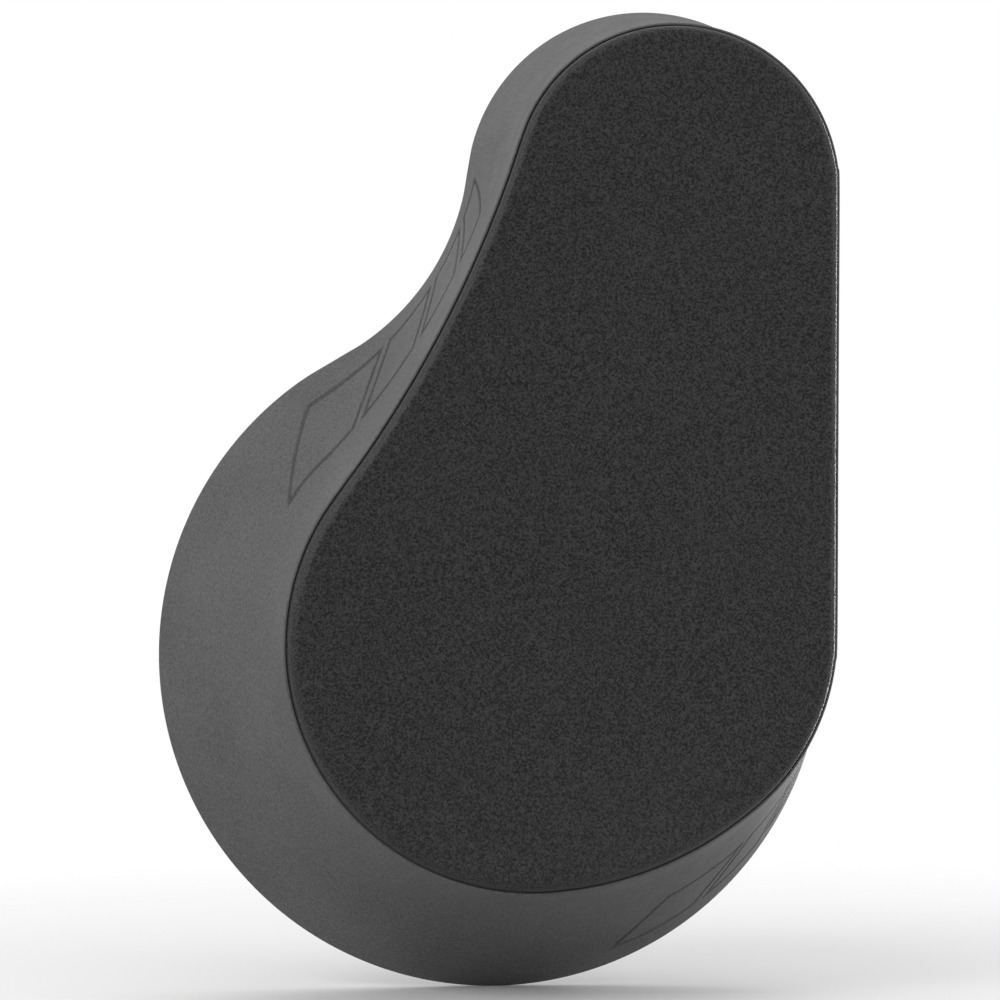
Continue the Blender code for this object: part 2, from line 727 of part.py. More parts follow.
def main():
    clear_scene()
    through = (-4 * CUT_MARGIN, BACKING_BOARD[1] + CUT_MARGIN)
    strap_places = [place for strap in STRAPS.values() for place in strap_screw_places(strap)]
    grip_places = grip_screw_places()
    well = make_well_cutter()
    grip_holes = make_hole_cutter("grip_hole_cutter", grip_places, GRIP_SCREW["shank"] + GAP, through)
    strap_holes = make_hole_cutter("strap_hole_cutter", strap_places, STRAP_SCREW["shank"] + GAP, through)
    nut_radius = GRIP_SCREW["barrel"] + GAP
    nut_holes = make_hole_cutter("nut_hole_cutter", grip_places + strap_places, nut_radius, through)

    make_face_panel()
    make_body_shell()
    make_layers(well, grip_holes, strap_holes, nut_holes)
    make_well_liner(grip_holes)
    make_forearm_cushion()

    make_grip_bar()
    make_grip_sleeve()
    make_bracket("grip_bracket_right", 1, grip_holes)
    make_bracket("grip_bracket_left", -1, grip_holes)
    foot_top = -(LINER_WALL + GAP + BRACKET_FOOT_THICKNESS + GAP)
    make_screws("grip_screw", grip_places, GRIP_SCREW, foot_top)
    make_tee_nuts("grip_tee_nut", grip_places, GRIP_SCREW)

    for side_name, strap in STRAPS.items():
        make_strap_set(side_name, strap, strap_holes)


main()
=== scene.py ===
"""Looks of the hand-held kick paddle: moulded skins, stitched back cover, cushion, straps and metal.

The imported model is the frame. Outlines and places are read from its nodes, so this file holds only
the sizes of details that the frame doesn't have.
"""

import json
import math

import bmesh
import bpy
import numpy as np
from mathutils import Matrix, Vector, noise


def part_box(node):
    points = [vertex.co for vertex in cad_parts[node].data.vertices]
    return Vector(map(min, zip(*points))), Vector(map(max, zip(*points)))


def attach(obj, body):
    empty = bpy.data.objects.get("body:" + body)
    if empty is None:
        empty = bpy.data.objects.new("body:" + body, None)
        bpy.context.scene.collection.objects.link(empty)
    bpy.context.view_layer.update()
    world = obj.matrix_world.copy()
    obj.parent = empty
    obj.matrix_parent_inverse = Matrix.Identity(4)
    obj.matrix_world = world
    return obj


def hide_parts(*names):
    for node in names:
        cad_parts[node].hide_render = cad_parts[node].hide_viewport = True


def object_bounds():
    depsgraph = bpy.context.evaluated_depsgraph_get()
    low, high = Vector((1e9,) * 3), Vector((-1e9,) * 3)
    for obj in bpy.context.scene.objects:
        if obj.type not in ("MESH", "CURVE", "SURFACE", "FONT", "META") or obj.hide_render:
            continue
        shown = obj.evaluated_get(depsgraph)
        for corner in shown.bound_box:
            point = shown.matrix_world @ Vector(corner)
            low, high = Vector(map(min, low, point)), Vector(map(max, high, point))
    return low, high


MM = 0.001
ROOT = "paddle"

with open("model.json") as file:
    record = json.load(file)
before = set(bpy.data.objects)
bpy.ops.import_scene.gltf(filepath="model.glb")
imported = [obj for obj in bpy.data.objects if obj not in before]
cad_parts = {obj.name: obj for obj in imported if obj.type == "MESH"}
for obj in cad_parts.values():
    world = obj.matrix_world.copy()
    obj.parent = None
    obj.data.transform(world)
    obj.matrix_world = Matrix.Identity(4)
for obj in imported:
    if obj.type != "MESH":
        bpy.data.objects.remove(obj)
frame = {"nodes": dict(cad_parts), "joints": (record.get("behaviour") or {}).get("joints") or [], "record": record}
CAD_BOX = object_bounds()
NODES = frame["nodes"]
JOINTS = {joint["name"]: joint for joint in frame["joints"]}


# ---- shader helpers ----


class Nodes:
    """Short ways to add nodes to a tree. An input is a value, or the output of another node."""

    def __init__(self, tree):
        self.tree = tree

    def feed(self, node, inputs):
        """Sets or links a node's inputs."""
        for socket, value in inputs.items():
            if isinstance(value, bpy.types.NodeSocket):
                self.tree.links.new(value, node.inputs[socket])
            else:
                node.inputs[socket].default_value = value

    def add(self, kind, inputs, **settings):
        """A new node, given back as its outputs."""
        node = self.tree.nodes.new("ShaderNode" + kind)
        for key, value in settings.items():
            setattr(node, key, value)
        self.feed(node, inputs)
        return node.outputs

    def math(self, operation, first, second=0):
        return self.add("Math", {0: first, 1: second}, operation=operation)[0]

    def map_range(self, value, low, high, to_low, to_high, **settings):
        inputs = {"Value": value, "From Min": low, "From Max": high, "To Min": to_low, "To Max": to_high}
        return self.add("MapRange", inputs, **settings)["Result"]


FINISHES = {}


class Finish(Nodes):
    """A material with a Principled shader and short names for the textures that feed it."""

    def __init__(self, name, colour, roughness, metallic=0.0, specular=0.5, sheen=(0.0, 0.5)):
        self.material = bpy.data.materials.new(name)
        self.material.use_nodes = True
        FINISHES[name] = self.material
        super().__init__(self.material.node_tree)
        self.shader = self.tree.nodes["Principled BSDF"]
        self.coordinates = self.add("TexCoord", {})
        self.place = self.coordinates["Object"]
        self.normal = None
        self.shade("Base Color", (*colour, 1))
        self.shade("Roughness", roughness)
        self.shade("Metallic", metallic)
        self.shade("Specular IOR Level", specular)
        self.shade("Sheen Weight", sheen[0])
        self.shade("Sheen Roughness", sheen[1])

    def shade(self, socket, value):
        """Sets or links one input of the Principled shader."""
        self.feed(self.shader, {socket: value})

    def noise(self, size, detail=3.0, roughness=0.5, stretch=None):
        """Noise with features of about the given size in metres."""
        place = self.place
        if stretch:
            place = self.add("Mapping", {"Vector": place, "Scale": stretch})["Vector"]
        inputs = {"Vector": place, "Scale": 1 / size, "Detail": detail, "Roughness": roughness}
        return self.add("TexNoise", inputs)["Fac"]

    def cells(self, size, smoothness):
        """Rounded cells of about the given size in metres, dark in their middles."""
        inputs = {"Vector": self.place, "Scale": 1 / size, "Smoothness": smoothness}
        return self.add("TexVoronoi", inputs, feature="SMOOTH_F1")["Distance"]

    def bands(self, size, axis):
        """Parallel bands of about the given pitch in metres."""
        inputs = {"Vector": self.place, "Scale": math.pi / (10 * size)}
        return self.add("TexWave", inputs, bands_direction=axis)["Fac"]

    def vary_colour(self, factor, first, second, low=0.35, high=0.65):
        share = self.map_range(factor, low, high, 0, 1)
        inputs = {"Factor": share, "A": (*first, 1), "B": (*second, 1)}
        self.shade("Base Color", self.add("Mix", inputs, data_type="RGBA")["Result"])

    def vary_roughness(self, factor, first, second):
        self.shade("Roughness", self.map_range(factor, 0.3, 0.7, first, second))

    def bump(self, height, distance, strength=1.0):
        """Adds a bump of the given height in metres on top of the earlier ones."""
        inputs = {"Height": height, "Distance": distance, "Strength": strength}
        if self.normal is not None:
            inputs["Normal"] = self.normal
        self.normal = self.add("Bump", inputs)["Normal"]
        self.shade("Normal", self.normal)


def grey(value, blue=0.0):
    """A grey with a little more blue in it."""
    return (value, value, value + blue)


def lighter(colour, times):
    """A colour with each of its parts multiplied."""
    return [part * times for part in colour]


# ---- materials ----

HERRINGBONE_COLUMN = 2.4 * MM
HERRINGBONE_THREAD = 1.15 * MM
MESH_HOLE_PITCH = 2.2 * MM


def finish_face_skin():
    """Pebble-grained moulded skin: nearly black, with painted highlights on the grain's tops and a few painted
    glints.
    """
    finish = Finish("face_skin", grey(0.03), 0.55, specular=0.22)
    grain = finish.noise(0.75 * MM, 0)
    # painted glints: sparse bright specks added to the colour in place of highlights
    painted_glints = finish.map_range(finish.noise(1.8 * MM, 0), 0.76, 0.84, 0, 0.9)
    patches = finish.map_range(finish.noise(60 * MM, 3), 0.3, 0.7, -0.02, 0.02)
    # the colour rises with the grain's bump height, so the grain's tops are lighter: painted highlights on them;
    # the patches are random tone
    shade = finish.math("ADD", finish.math("ADD", grain, painted_glints), patches)
    finish.vary_colour(shade, grey(0.014), grey(0.05, 0.0005), 0.22, 0.78)
    finish.vary_roughness(grain, 0.38, 0.58)
    finish.bump(grain, 0.18 * MM, 0.9)
    finish.bump(finish.cells(1.3 * MM, 0.75), 0.16 * MM, 0.9)
    finish.bump(finish.noise(14 * MM, 2), 0.25 * MM, 0.35)


def finish_body_skin():
    """Fine matte moulded skin, a little chalky, with faint flow marks round the wall."""
    finish = Finish("body_skin", grey(0.11, 0.001), 0.7, specular=0.2)
    grain = finish.noise(1.0 * MM, 3, 0.75)
    marks = finish.map_range(finish.noise(35 * MM, 3), 0.3, 0.7, -0.05, 0.05)
    shade = finish.math("ADD", grain, marks)
    finish.vary_colour(shade, grey(0.072, 0.0005), grey(0.136, 0.001), 0.3, 0.7)
    finish.vary_roughness(finish.noise(9 * MM, 4), 0.64, 0.76)
    finish.bump(grain, 0.1 * MM, 0.9)
    finish.bump(finish.noise(7 * MM, 2), 0.08 * MM, 0.3)


def finish_foam(name, colour):
    """Closed-cell foam: small open pits in a matte block."""
    finish = Finish(name, colour, 0.92, specular=0.2)
    finish.vary_colour(finish.noise(6 * MM), colour, lighter(colour, 1.25))
    finish.bump(finish.cells(0.8 * MM, 0.4), 0.15 * MM, 0.7)


def finish_board():
    """Birch plywood: long grain with fine pores."""
    finish = Finish("board", (0.5, 0.36, 0.22), 0.62, specular=0.35)
    grain = finish.noise(5 * MM, 6, 0.6, stretch=(1, 1, 0.06))
    finish.vary_colour(grain, (0.42, 0.29, 0.17), (0.58, 0.43, 0.27))
    finish.bump(finish.noise(1.2 * MM, 4, 0.6, stretch=(1, 1, 0.08)), 0.05 * MM, 0.6)


def finish_back_fabric():
    """Coarse laminated cloth of the back cover, woven from two crossed sets of threads."""
    finish = Finish("back_fabric", grey(0.03, 0.002), 0.85, specular=0.3, sheen=(0.12, 0.5))
    finish.vary_colour(finish.noise(2.5 * MM, 4), grey(0.026, 0.002), grey(0.036, 0.002))
    weave = finish.math("MAXIMUM", finish.bands(1.0 * MM, "X"), finish.bands(1.0 * MM, "Z"))
    finish.bump(weave, 0.16 * MM, 0.9)
    finish.bump(finish.noise(0.3 * MM), 0.05 * MM, 0.6)


def finish_cushion_fabric():
    """Spacer mesh of the forearm cushion: rows of small round holes."""
    finish = Finish("cushion_fabric", grey(0.045, 0.003), 0.9, specular=0.25, sheen=(0.18, 0.45))
    columns, rows = (finish.bands(MESH_HOLE_PITCH, axis) for axis in "XZ")
    holes = finish.math("MULTIPLY", columns, rows)
    # the holes are painted near-black: painted shade down in the holes that the bump sinks
    finish.vary_colour(holes, grey(0.06, 0.003), grey(0.012, 0.001), 0.4, 0.7)
    finish.bump(finish.math("SUBTRACT", 1, holes), 0.5 * MM, 0.8)
    finish.bump(finish.noise(0.35 * MM), 0.05 * MM, 0.6)


def finish_webbing():
    """Woven polyester webbing: columns of slanted threads that turn back and forth like herringbone."""
    finish = Finish("webbing", grey(0.022, 0.001), 0.62, specular=0.4, sheen=(0.12, 0.4))
    finish.place = finish.coordinates["UV"]
    split = finish.add("SeparateXYZ", {0: finish.place})
    along, across = split["X"], split["Y"]
    zigzag = finish.math("PINGPONG", across, HERRINGBONE_COLUMN)
    slanted = finish.math("ADD", along, finish.math("MULTIPLY", zigzag, 0.8))
    threads = finish.math("SINE", finish.math("MULTIPLY", slanted, 2 * math.pi / HERRINGBONE_THREAD))
    columns = finish.math("SINE", finish.math("MULTIPLY", across, math.pi / HERRINGBONE_COLUMN))
    columns = finish.math("POWER", finish.math("ABSOLUTE", columns), 0.35)
    height = finish.math("MULTIPLY", finish.math("ADD", threads, 1.6), columns)
    # the colour follows the weave's height: darker in the grooves between threads and columns, painted shade
    finish.vary_colour(height, grey(0.012, 0.0005), grey(0.032, 0.001), 0.2, 2.4)
    finish.bump(height, 0.11 * MM)
    finish.bump(finish.noise(0.3 * MM), 0.05 * MM, 0.7)


def finish_tape(name, colour, tuft):
    """Hook or loop tape: a field of tiny tufts."""
    finish = Finish(name, colour, 0.95, specular=0.2, sheen=(0.25, 0.6))
    finish.vary_colour(finish.noise(tuft * 2), colour, lighter(colour, 1.8))
    finish.bump(finish.cells(tuft, 0.3), 0.5 * MM)
    finish.bump(finish.noise(tuft / 2, 4, 0.7), 0.3 * MM, 0.9)


def finish_rubber(name, colour):
    """Soft matte rubber with a fine spark-eroded texture."""
    finish = Finish(name, colour, 0.62, specular=0.4)
    finish.vary_roughness(finish.noise(5 * MM), 0.52, 0.72)
    finish.bump(finish.noise(0.5 * MM, 4, 0.6), 0.06 * MM, 0.8)


def finish_moulded(name, colour, roughness):
    """Moulded nylon with a fine grain and faint wear."""
    finish = Finish(name, colour, roughness)
    finish.vary_colour(finish.noise(8 * MM, 5, 0.6), colour, lighter(colour, 1.6), 0.45, 0.8)
    finish.vary_roughness(finish.noise(3 * MM), roughness - 0.08, roughness + 0.1)
    finish.bump(finish.noise(0.4 * MM), 0.04 * MM, 0.7)


def finish_steel():
    """Nickel-plated steel with fine scratches and dull spots."""
    finish = Finish("steel", (0.42, 0.42, 0.41), 0.3, metallic=1.0)
    spots = finish.noise(3 * MM, 4, 0.6)
    finish.vary_colour(spots, (0.36, 0.36, 0.35), (0.48, 0.475, 0.465))
    finish.vary_roughness(spots, 0.22, 0.4)
    finish.bump(finish.noise(0.5 * MM, 4, 0.6, stretch=(1, 1, 6)), 0.01 * MM, 0.6)


def finish_thread():
    """Twisted polyester thread."""
    colour = grey(0.05, 0.002)
    finish = Finish("thread", colour, 0.6, specular=0.4, sheen=(0.2, 0.5))
    finish.vary_colour(finish.noise(0.8 * MM, 2), colour, lighter(colour, 1.5))
    finish.bump(finish.bands(0.35 * MM, "DIAGONAL"), 0.08 * MM, 0.8)


finish_face_skin()
finish_body_skin()
finish_foam("foam", grey(0.16, 0.01))
finish_foam("soft_foam", grey(0.05))
finish_board()
finish_back_fabric()
finish_moulded("liner_plastic", grey(0.03, 0.002), 0.52)
finish_moulded("bracket_plastic", grey(0.022, 0.002), 0.42)
finish_rubber("grip_rubber", grey(0.018))
finish_rubber("tab_rubber", grey(0.024))
finish_cushion_fabric()
finish_webbing()
finish_tape("fastener_tape", grey(0.022, 0.002), 0.9 * MM)
finish_tape("loop_tape", grey(0.03, 0.002), 1.1 * MM)
finish_tape("hook_tape", grey(0.016, 0.001), 0.7 * MM)
finish_steel()
finish_thread()


# ---- mesh helpers ----


def new_object(name, data):
    """A new object in the scene."""
    new = bpy.data.objects.new(name, data)
    bpy.context.scene.collection.objects.link(new)
    return new


def add_piece(name, mesh, slot, body=ROOT, finish=None, sharp=35, node=None):
    """A new object with a finish, riding on a body, in the place of a CAD node if one is named."""
    mesh.name = name
    mesh.shade_smooth()
    mesh.set_sharp_from_angle(angle=math.radians(sharp))
    piece = new_object(name, mesh)
    piece.data.materials.clear()
    piece.data.materials.append(FINISHES[finish or slot])
    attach(piece, body)
    if node:
        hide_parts(node)
    return piece


def ring_faces(index, capped=True):
    """Faces between rings of point numbers, and over the first and the last ring if capped."""
    turned = np.roll(index, -1, axis=1)
    faces = np.stack([index[:-1], turned[:-1], turned[1:], index[1:]], axis=-1).reshape(-1, 4).tolist()
    return faces + [index[0].tolist(), index[-1].tolist()] if capped else faces


def closed_mesh(points, faces):
    """A mesh with its faces turned outwards."""
    mesh = bpy.data.meshes.new("mesh")
    mesh.from_pydata(points.reshape(-1, 3).tolist(), [], faces)
    bm = bmesh.new()
    bm.from_mesh(mesh)
    bmesh.ops.recalc_face_normals(bm, faces=bm.faces)
    bm.to_mesh(mesh)
    bm.free()
    return mesh


def grid_mesh(rows, capped=True):
    """A mesh from rings of points; caps close the first and the last ring."""
    rows = np.asarray(rows, float)
    index = np.arange(rows[..., 0].size).reshape(rows.shape[:2])
    return closed_mesh(rows, ring_faces(index, capped))


def joined(meshes):
    """One mesh from several."""
    bm = bmesh.new()
    for mesh in meshes:
        bm.from_mesh(mesh)
        bpy.data.meshes.remove(mesh)
    merged = bpy.data.meshes.new("mesh")
    bm.to_mesh(merged)
    bm.free()
    return merged


def quarter_round(radius, turns):
    """Pairs of how far a rounded edge stays back from its two faces, at turns from 0 to a quarter."""
    return [(radius * (1 - math.sin(turn)), radius * (1 - math.cos(turn))) for turn in turns]


def spline(a, b, c, d, t):
    """The point at a share t of the way from b to c on a smooth curve through four points."""
    return b + 0.5 * t * (c - a + t * (2 * a - 5 * b + 4 * c - d + t * (3 * (b - c) + d - a)))


def unit(vectors):
    """Vectors scaled to a length of 1."""
    return vectors / np.linalg.norm(vectors, axis=-1, keepdims=True)


def tangents(path, closed):
    """Unit directions along a path at each of its points."""
    return unit(np.roll(path, -1, axis=0) - np.roll(path, 1, axis=0) if closed else np.gradient(path, axis=0))


def full_turn(count):
    """Evenly spaced turns of a circle, in radians."""
    return np.linspace(0, 2 * math.pi, count, endpoint=False)


def around(turns, first, second):
    """Points on unit circles, at turns from the first directions towards the second ones."""
    return np.cos(turns)[:, None] * first[..., None, :] + np.sin(turns)[:, None] * second[..., None, :]


def xyz(x, y, z):
    """Points in space from coordinates that are arrays or single numbers."""
    return np.stack(np.broadcast_arrays(x, y, z), axis=-1)


def points_at(at, length, path, **settings):
    """Points of a path at distances along it."""
    return np.stack([np.interp(at, length, column, **settings) for column in path.T], axis=1)


def distance_along(points):
    """Distance along a path at each of its points."""
    return np.concatenate([[0], np.cumsum(np.linalg.norm(np.diff(points, axis=0), axis=1))])


def smooth_step(value, low, high):
    """0 below low, 1 above high, and a smooth rise in between."""
    share = np.clip((np.asarray(value, float) - low) / (high - low), 0, 1)
    return share * share * (3 - 2 * share)


PIPING_SIDES = 12
TUBE_REFERENCE = np.array([0.31, 0.77, 0.56])  # a direction that no wire or piping follows


def tube_mesh(path, radius, sides, closed=False):
    """Round wire along a path of points."""
    path = np.asarray(path, float)
    along = tangents(path, closed)
    across = unit(np.cross(along, TUBE_REFERENCE))
    ring = around(full_turn(sides), across, np.cross(along, across))
    rows = path[:, None] + np.asarray(radius).reshape(-1, 1, 1) * ring
    if closed:
        rows = np.concatenate([rows, rows[:1]])
    return grid_mesh(rows, capped=not closed)


# ---- outlines from the frame ----


def node_points(node):
    """The distinct points of a CAD node."""
    points = np.array([v.co for v in NODES[node].data.vertices], float)
    return np.unique(points.round(6), axis=0)


def ordered_ring(points, start):
    """Points of a ring sorted anticlockwise, seen from the strike face, from the one nearest to start."""
    angles = np.arctan2(points[:, 2] - INSIDE[1], points[:, 0] - INSIDE[0])
    points = points[np.argsort(angles)]
    first = np.argmin(np.hypot(points[:, 0] - start[0], points[:, 2] - start[1]))
    return np.roll(points, -first, axis=0)


def closed_curve(ring, at):
    """A smooth closed curve through a ring's points, at places counted in points."""
    at = np.asarray(at, float) % len(ring)
    i = np.floor(at).astype(int)
    t = (at - i)[:, None]
    return spline(*(ring[(i + k) % len(ring)] for k in (-1, 0, 1, 2)), t)


SHELL_LOW, SHELL_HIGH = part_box("body_shell")
INSIDE = (SHELL_HIGH.x - 75 * MM, SHELL_LOW.z + 175 * MM)  # a place in X and Z that every ring surrounds
BACK_Y = SHELL_HIGH.y
RING_START = (SHELL_HIGH.x, SHELL_HIGH.z - 72 * MM)
SHELL_WALL_LIMIT = 6 * MM
WALL_THICKNESS = 7 * MM
RIM_RADIUS = 3 * MM
LEVEL_TOLERANCE = 0.02 * MM
WALL_TOLERANCE = 0.05 * MM
FINE_PLACES = 40  # places between two of the ring's points


def outer_points(points):
    """Leaves out the points of the cavity wall, one wall thickness inside the outer ones."""
    reach = np.hypot(points[:, 0] - INSIDE[0], points[:, 2] - INSIDE[1])
    gaps = np.linalg.norm(points[:, None] - points[None], axis=2)
    paired = np.abs(gaps - WALL_THICKNESS) < WALL_TOLERANCE
    farther = reach[None, :] > reach[:, None]
    return points[~(paired & farther).any(axis=1)]


def shell_rings():
    """The rings of the shell's outer wall and their depths from the back rim."""
    points = node_points("body_shell")
    depths, rings = [], []
    for level in np.unique(points[:, 1].round(5))[::-1]:
        ring = points[np.abs(points[:, 1] - level) < LEVEL_TOLERANCE]
        depth = BACK_Y - level
        if depth > RIM_RADIUS / 2 and ring[:, 0].max() > SHELL_HIGH.x - SHELL_WALL_LIMIT:
            depths.append(depth)
            rings.append(ordered_ring(outer_points(ring), RING_START))
    return np.array(depths[:-1]), np.array(rings[:-1])


RING_DEPTHS, RINGS = shell_rings()
RING_COUNT = RINGS.shape[1]
SHELL_DEPTH = BACK_Y - SHELL_LOW.y


def wall_rows(at, depths):
    """Points of the outer wall at places along the outline and at depths, as rows by depth."""
    curves = np.array([closed_curve(ring, at) for ring in RINGS])
    slopes = np.gradient(curves, RING_DEPTHS, axis=0)
    rows = []
    for depth in depths:
        k = int(np.clip(np.searchsorted(RING_DEPTHS, depth) - 1, 0, len(RING_DEPTHS) - 2))
        width = RING_DEPTHS[k + 1] - RING_DEPTHS[k]
        t = max(depth - RING_DEPTHS[k], 0) / width
        if t > 1:
            row = curves[k] + (curves[k + 1] - curves[k]) * t
        else:
            h = (2 * t**3 - 3 * t**2 + 1, t**3 - 2 * t**2 + t, 3 * t**2 - 2 * t**3, t**3 - t**2)
            row = h[0] * curves[k] + h[1] * width * slopes[k]
            row = row + h[2] * curves[k + 1] + h[3] * width * slopes[k + 1]
        row[:, 1] = BACK_Y - depth
        rows.append(row)
    return np.array(rows)


def inset_row(row, distance):
    """Moves a ring inwards in its own plane."""
    along = tangents(row, closed=True)
    return row + xyz(-along[:, 2], 0, along[:, 0]) * np.asarray(distance).reshape(-1, 1)


def profile_rows(at, profile):
    """Rows of the body at (depth, inset) pairs."""
    rows = wall_rows(at, [depth for depth, _ in profile])
    return [inset_row(row, inset) for row, (_, inset) in zip(rows, profile)]


def even_places(spacing):
    """Places along the outline at an even spacing in metres."""
    fine = np.linspace(0, RING_COUNT, RING_COUNT * FINE_PLACES + 1)
    row = wall_rows(fine, [SHELL_DEPTH / 2])[0]
    length = distance_along(row)
    count = int(round(length[-1] / spacing))
    return np.interp(np.linspace(0, length[-1], count, endpoint=False), length, fine), length, fine


# ---- body ----

LIP_HEIGHT = 0.5 * MM
LIP_RADIUS = 0.45 * MM
GROOVE_WIDTH = 0.3 * MM
GROOVE_DEPTH = 0.8 * MM
LIP_DROP = 0.2 * MM
FACE_EDGE = 3.0 * MM
FACE_SAG = 0.5 * MM

# Debossed motif on the wall: two rows of plain slanted bars, each bar drawn as an incised outline.
# A row is its middle along the outline, as a share of it, the two depths in mm that it lies
# between, and the lengths of its bars in mm.
MOTIF_ROWS = ((0.29, (15, 43), (18, 24, 30, 38)), (0.724, (13, 33), (34, 24, 11)))
MOTIF_GAP = 6 * MM
MOTIF_SLANT = 0.6
MOTIF_LINE = 1.4 * MM
MOTIF_CUT = 2.2 * MM
MOTIF_LINE_EDGE = (0.2, 0.7)  # shares of the line where its cut is deepest and where it ends
SKIN_SPACING = 0.6 * MM
SKIN_ROWS = 130
CAVITY_DEPTHS = (64, 48, 34, 18, 0.6)  # in mm, from the floor of the cavity to the rim
RIM_CHAMFER = (0.15 * MM, 0.6 * MM)
GROOVE_FLOOR_INSET = 8 * MM
FACE_SPACING = 1.6 * MM
FACE_RINGS = 40
FACE_UNDERCUT = (0.4 * MM, 0.3 * MM)
FACE_WAVE = (38 * MM, 0.35)  # length of the face's waves and their share of the sag


def motif_depth(along, depth):
    """How deep the motif is cut at distances along the outline and at a depth."""
    cut = np.zeros_like(along)
    total = along[-1] + along[1]
    for middle, band, lengths in MOTIF_ROWS:
        low, high = (side * MM for side in band)
        widths = [length * MM for length in lengths]
        start = middle * total - (sum(widths) + MOTIF_GAP * (len(widths) - 1)) / 2
        for width in widths:
            centre_u, centre_v = start + width / 2, (low + high) / 2
            u = np.abs(along - centre_u - MOTIF_SLANT * (depth - centre_v)) - width / 2
            v = abs(depth - centre_v) - (high - low) / 2
            edge = np.maximum(u, v)
            cut = np.maximum(cut, 1 - smooth_step(np.abs(edge) / MOTIF_LINE, *MOTIF_LINE_EDGE))
            start += width + MOTIF_GAP
    return cut * MOTIF_CUT


def make_body_skin():
    """The moulded shell: flared wall with the motif, round back rim, and lip and groove at the face."""
    at, length, fine = even_places(SKIN_SPACING)
    along = np.interp(at, fine, length)
    small, large = RIM_CHAMFER
    cavity = [(depth * MM, WALL_THICKNESS) for depth in CAVITY_DEPTHS]
    rim = [(small, WALL_THICKNESS - small), (0, WALL_THICKNESS - large), (0, RIM_RADIUS)]
    rim += quarter_round(RIM_RADIUS, np.radians((75, 60, 45, 30, 15)))
    top = SHELL_DEPTH + LIP_HEIGHT
    wall = [(depth, 0) for depth in np.linspace(RIM_RADIUS, top - LIP_RADIUS, SKIN_ROWS)]
    lip = [(top - drop, inset) for drop, inset in quarter_round(LIP_RADIUS, np.radians((0, 30, 60, 90)))]
    groove_bottom = top - GROOVE_DEPTH
    lip += [(top, 1.6 * LIP_RADIUS), (top - LIP_DROP, 2 * LIP_RADIUS), (groove_bottom, 2 * LIP_RADIUS)]
    lip.append((groove_bottom, GROOVE_FLOOR_INSET))
    profile = cavity + rim + wall + lip[1:]
    rows = profile_rows(at, profile)
    first_wall = len(cavity) + len(rim)
    for k in range(first_wall, first_wall + len(wall)):
        rows[k] = inset_row(rows[k], motif_depth(along, profile[k][0]))
    skin = add_piece("body_skin", grid_mesh(rows), "body_skin", node="body_shell")


def make_face_skin():
    """The struck face: a panel with a soft round edge, very slightly uneven like moulded foam."""
    at, _, _ = even_places(FACE_SPACING)
    edge_inset = 2 * LIP_RADIUS + GROOVE_WIDTH
    undercut, height = FACE_UNDERCUT
    wave_length, wave_share = FACE_WAVE
    low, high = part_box("face_panel")
    bottom = BACK_Y - high.y
    top = BACK_Y - low.y
    profile = [(bottom, edge_inset + undercut), (bottom + height, edge_inset)]
    for drop, inset in quarter_round(FACE_EDGE, np.radians(range(0, 91, 10))):
        profile.append((top - drop, edge_inset + inset))
    rows = profile_rows(at, profile)
    centre = rows[-1].mean(axis=0)
    edge = rows[-1]
    for share in np.linspace(1, 0, FACE_RINGS)[1:-1]:
        row = centre + (edge - centre) * share
        for point in row:
            wave = noise.noise(Vector((point[0], 0, point[2])) / wave_length)
            point[1] += FACE_SAG * (wave_share * wave) * (1 - share**6)
        rows.append(row)
    skin = add_piece("face_skin", grid_mesh(rows), "face_skin", sharp=60, node="face_panel")


# ---- stitches ----

STITCH_LENGTH = 2.6 * MM
STITCH_PITCH = 3.7 * MM
THREAD_RADIUS = 0.32 * MM
THREAD_SIDES = 6
# Along a stitch: share of its length, share of the thread's radius, and rise in thread radii.
STITCH_SHAPE = ((0, 0.4, -1.0), (0.15, 0.9, 0.1), (0.5, 1, 0.5), (0.85, 0.9, 0.1), (1, 0.4, -1.0))


def stitch_mesh(starts, ends, normals):
    """One mesh of sunken-ended stitches from start and end points on a surface and its normals."""
    across = np.cross(unit(ends - starts), normals)
    circle = around(full_turn(THREAD_SIDES), across, normals)
    rings = []
    for share, width, rise in STITCH_SHAPE:
        centre = starts + (ends - starts) * share + normals * rise * THREAD_RADIUS
        rings.append(centre[:, None] + THREAD_RADIUS * width * circle)
    points = np.stack(rings, axis=1)
    index = np.arange(points[..., 0].size).reshape(points.shape[:3])
    return closed_mesh(points, [face for stitch in index for face in ring_faces(stitch)])


def stitch_ends(path, normals, closed):
    """Start and end points of stitches, and their normals, along a path on a surface."""
    path = np.asarray(path, float)
    normals = np.broadcast_to(np.asarray(normals, float), path.shape)
    if closed:
        path = np.concatenate([path, path[:1]])
        normals = np.concatenate([normals, normals[:1]])
    length = distance_along(path)
    count = max(1, int(length[-1] / STITCH_PITCH))
    pitch = length[-1] / count
    first = np.arange(count) * pitch + (pitch - STITCH_LENGTH) / 2

    middle = points_at(first + STITCH_LENGTH / 2, length, normals)
    return points_at(first, length, path), points_at(first + STITCH_LENGTH, length, path), middle


def add_stitches(name, seams, slot, body=ROOT, closed=False):
    """Stitches along several seams, each a path and its normals, as one piece of thread."""
    found = [stitch_ends(path, normals, closed) for path, normals in seams]
    starts, ends, normals = (np.concatenate(column) for column in zip(*found))
    return add_piece(name, stitch_mesh(starts, ends, normals), slot, body, "thread")


# ---- back cover and hand well ----

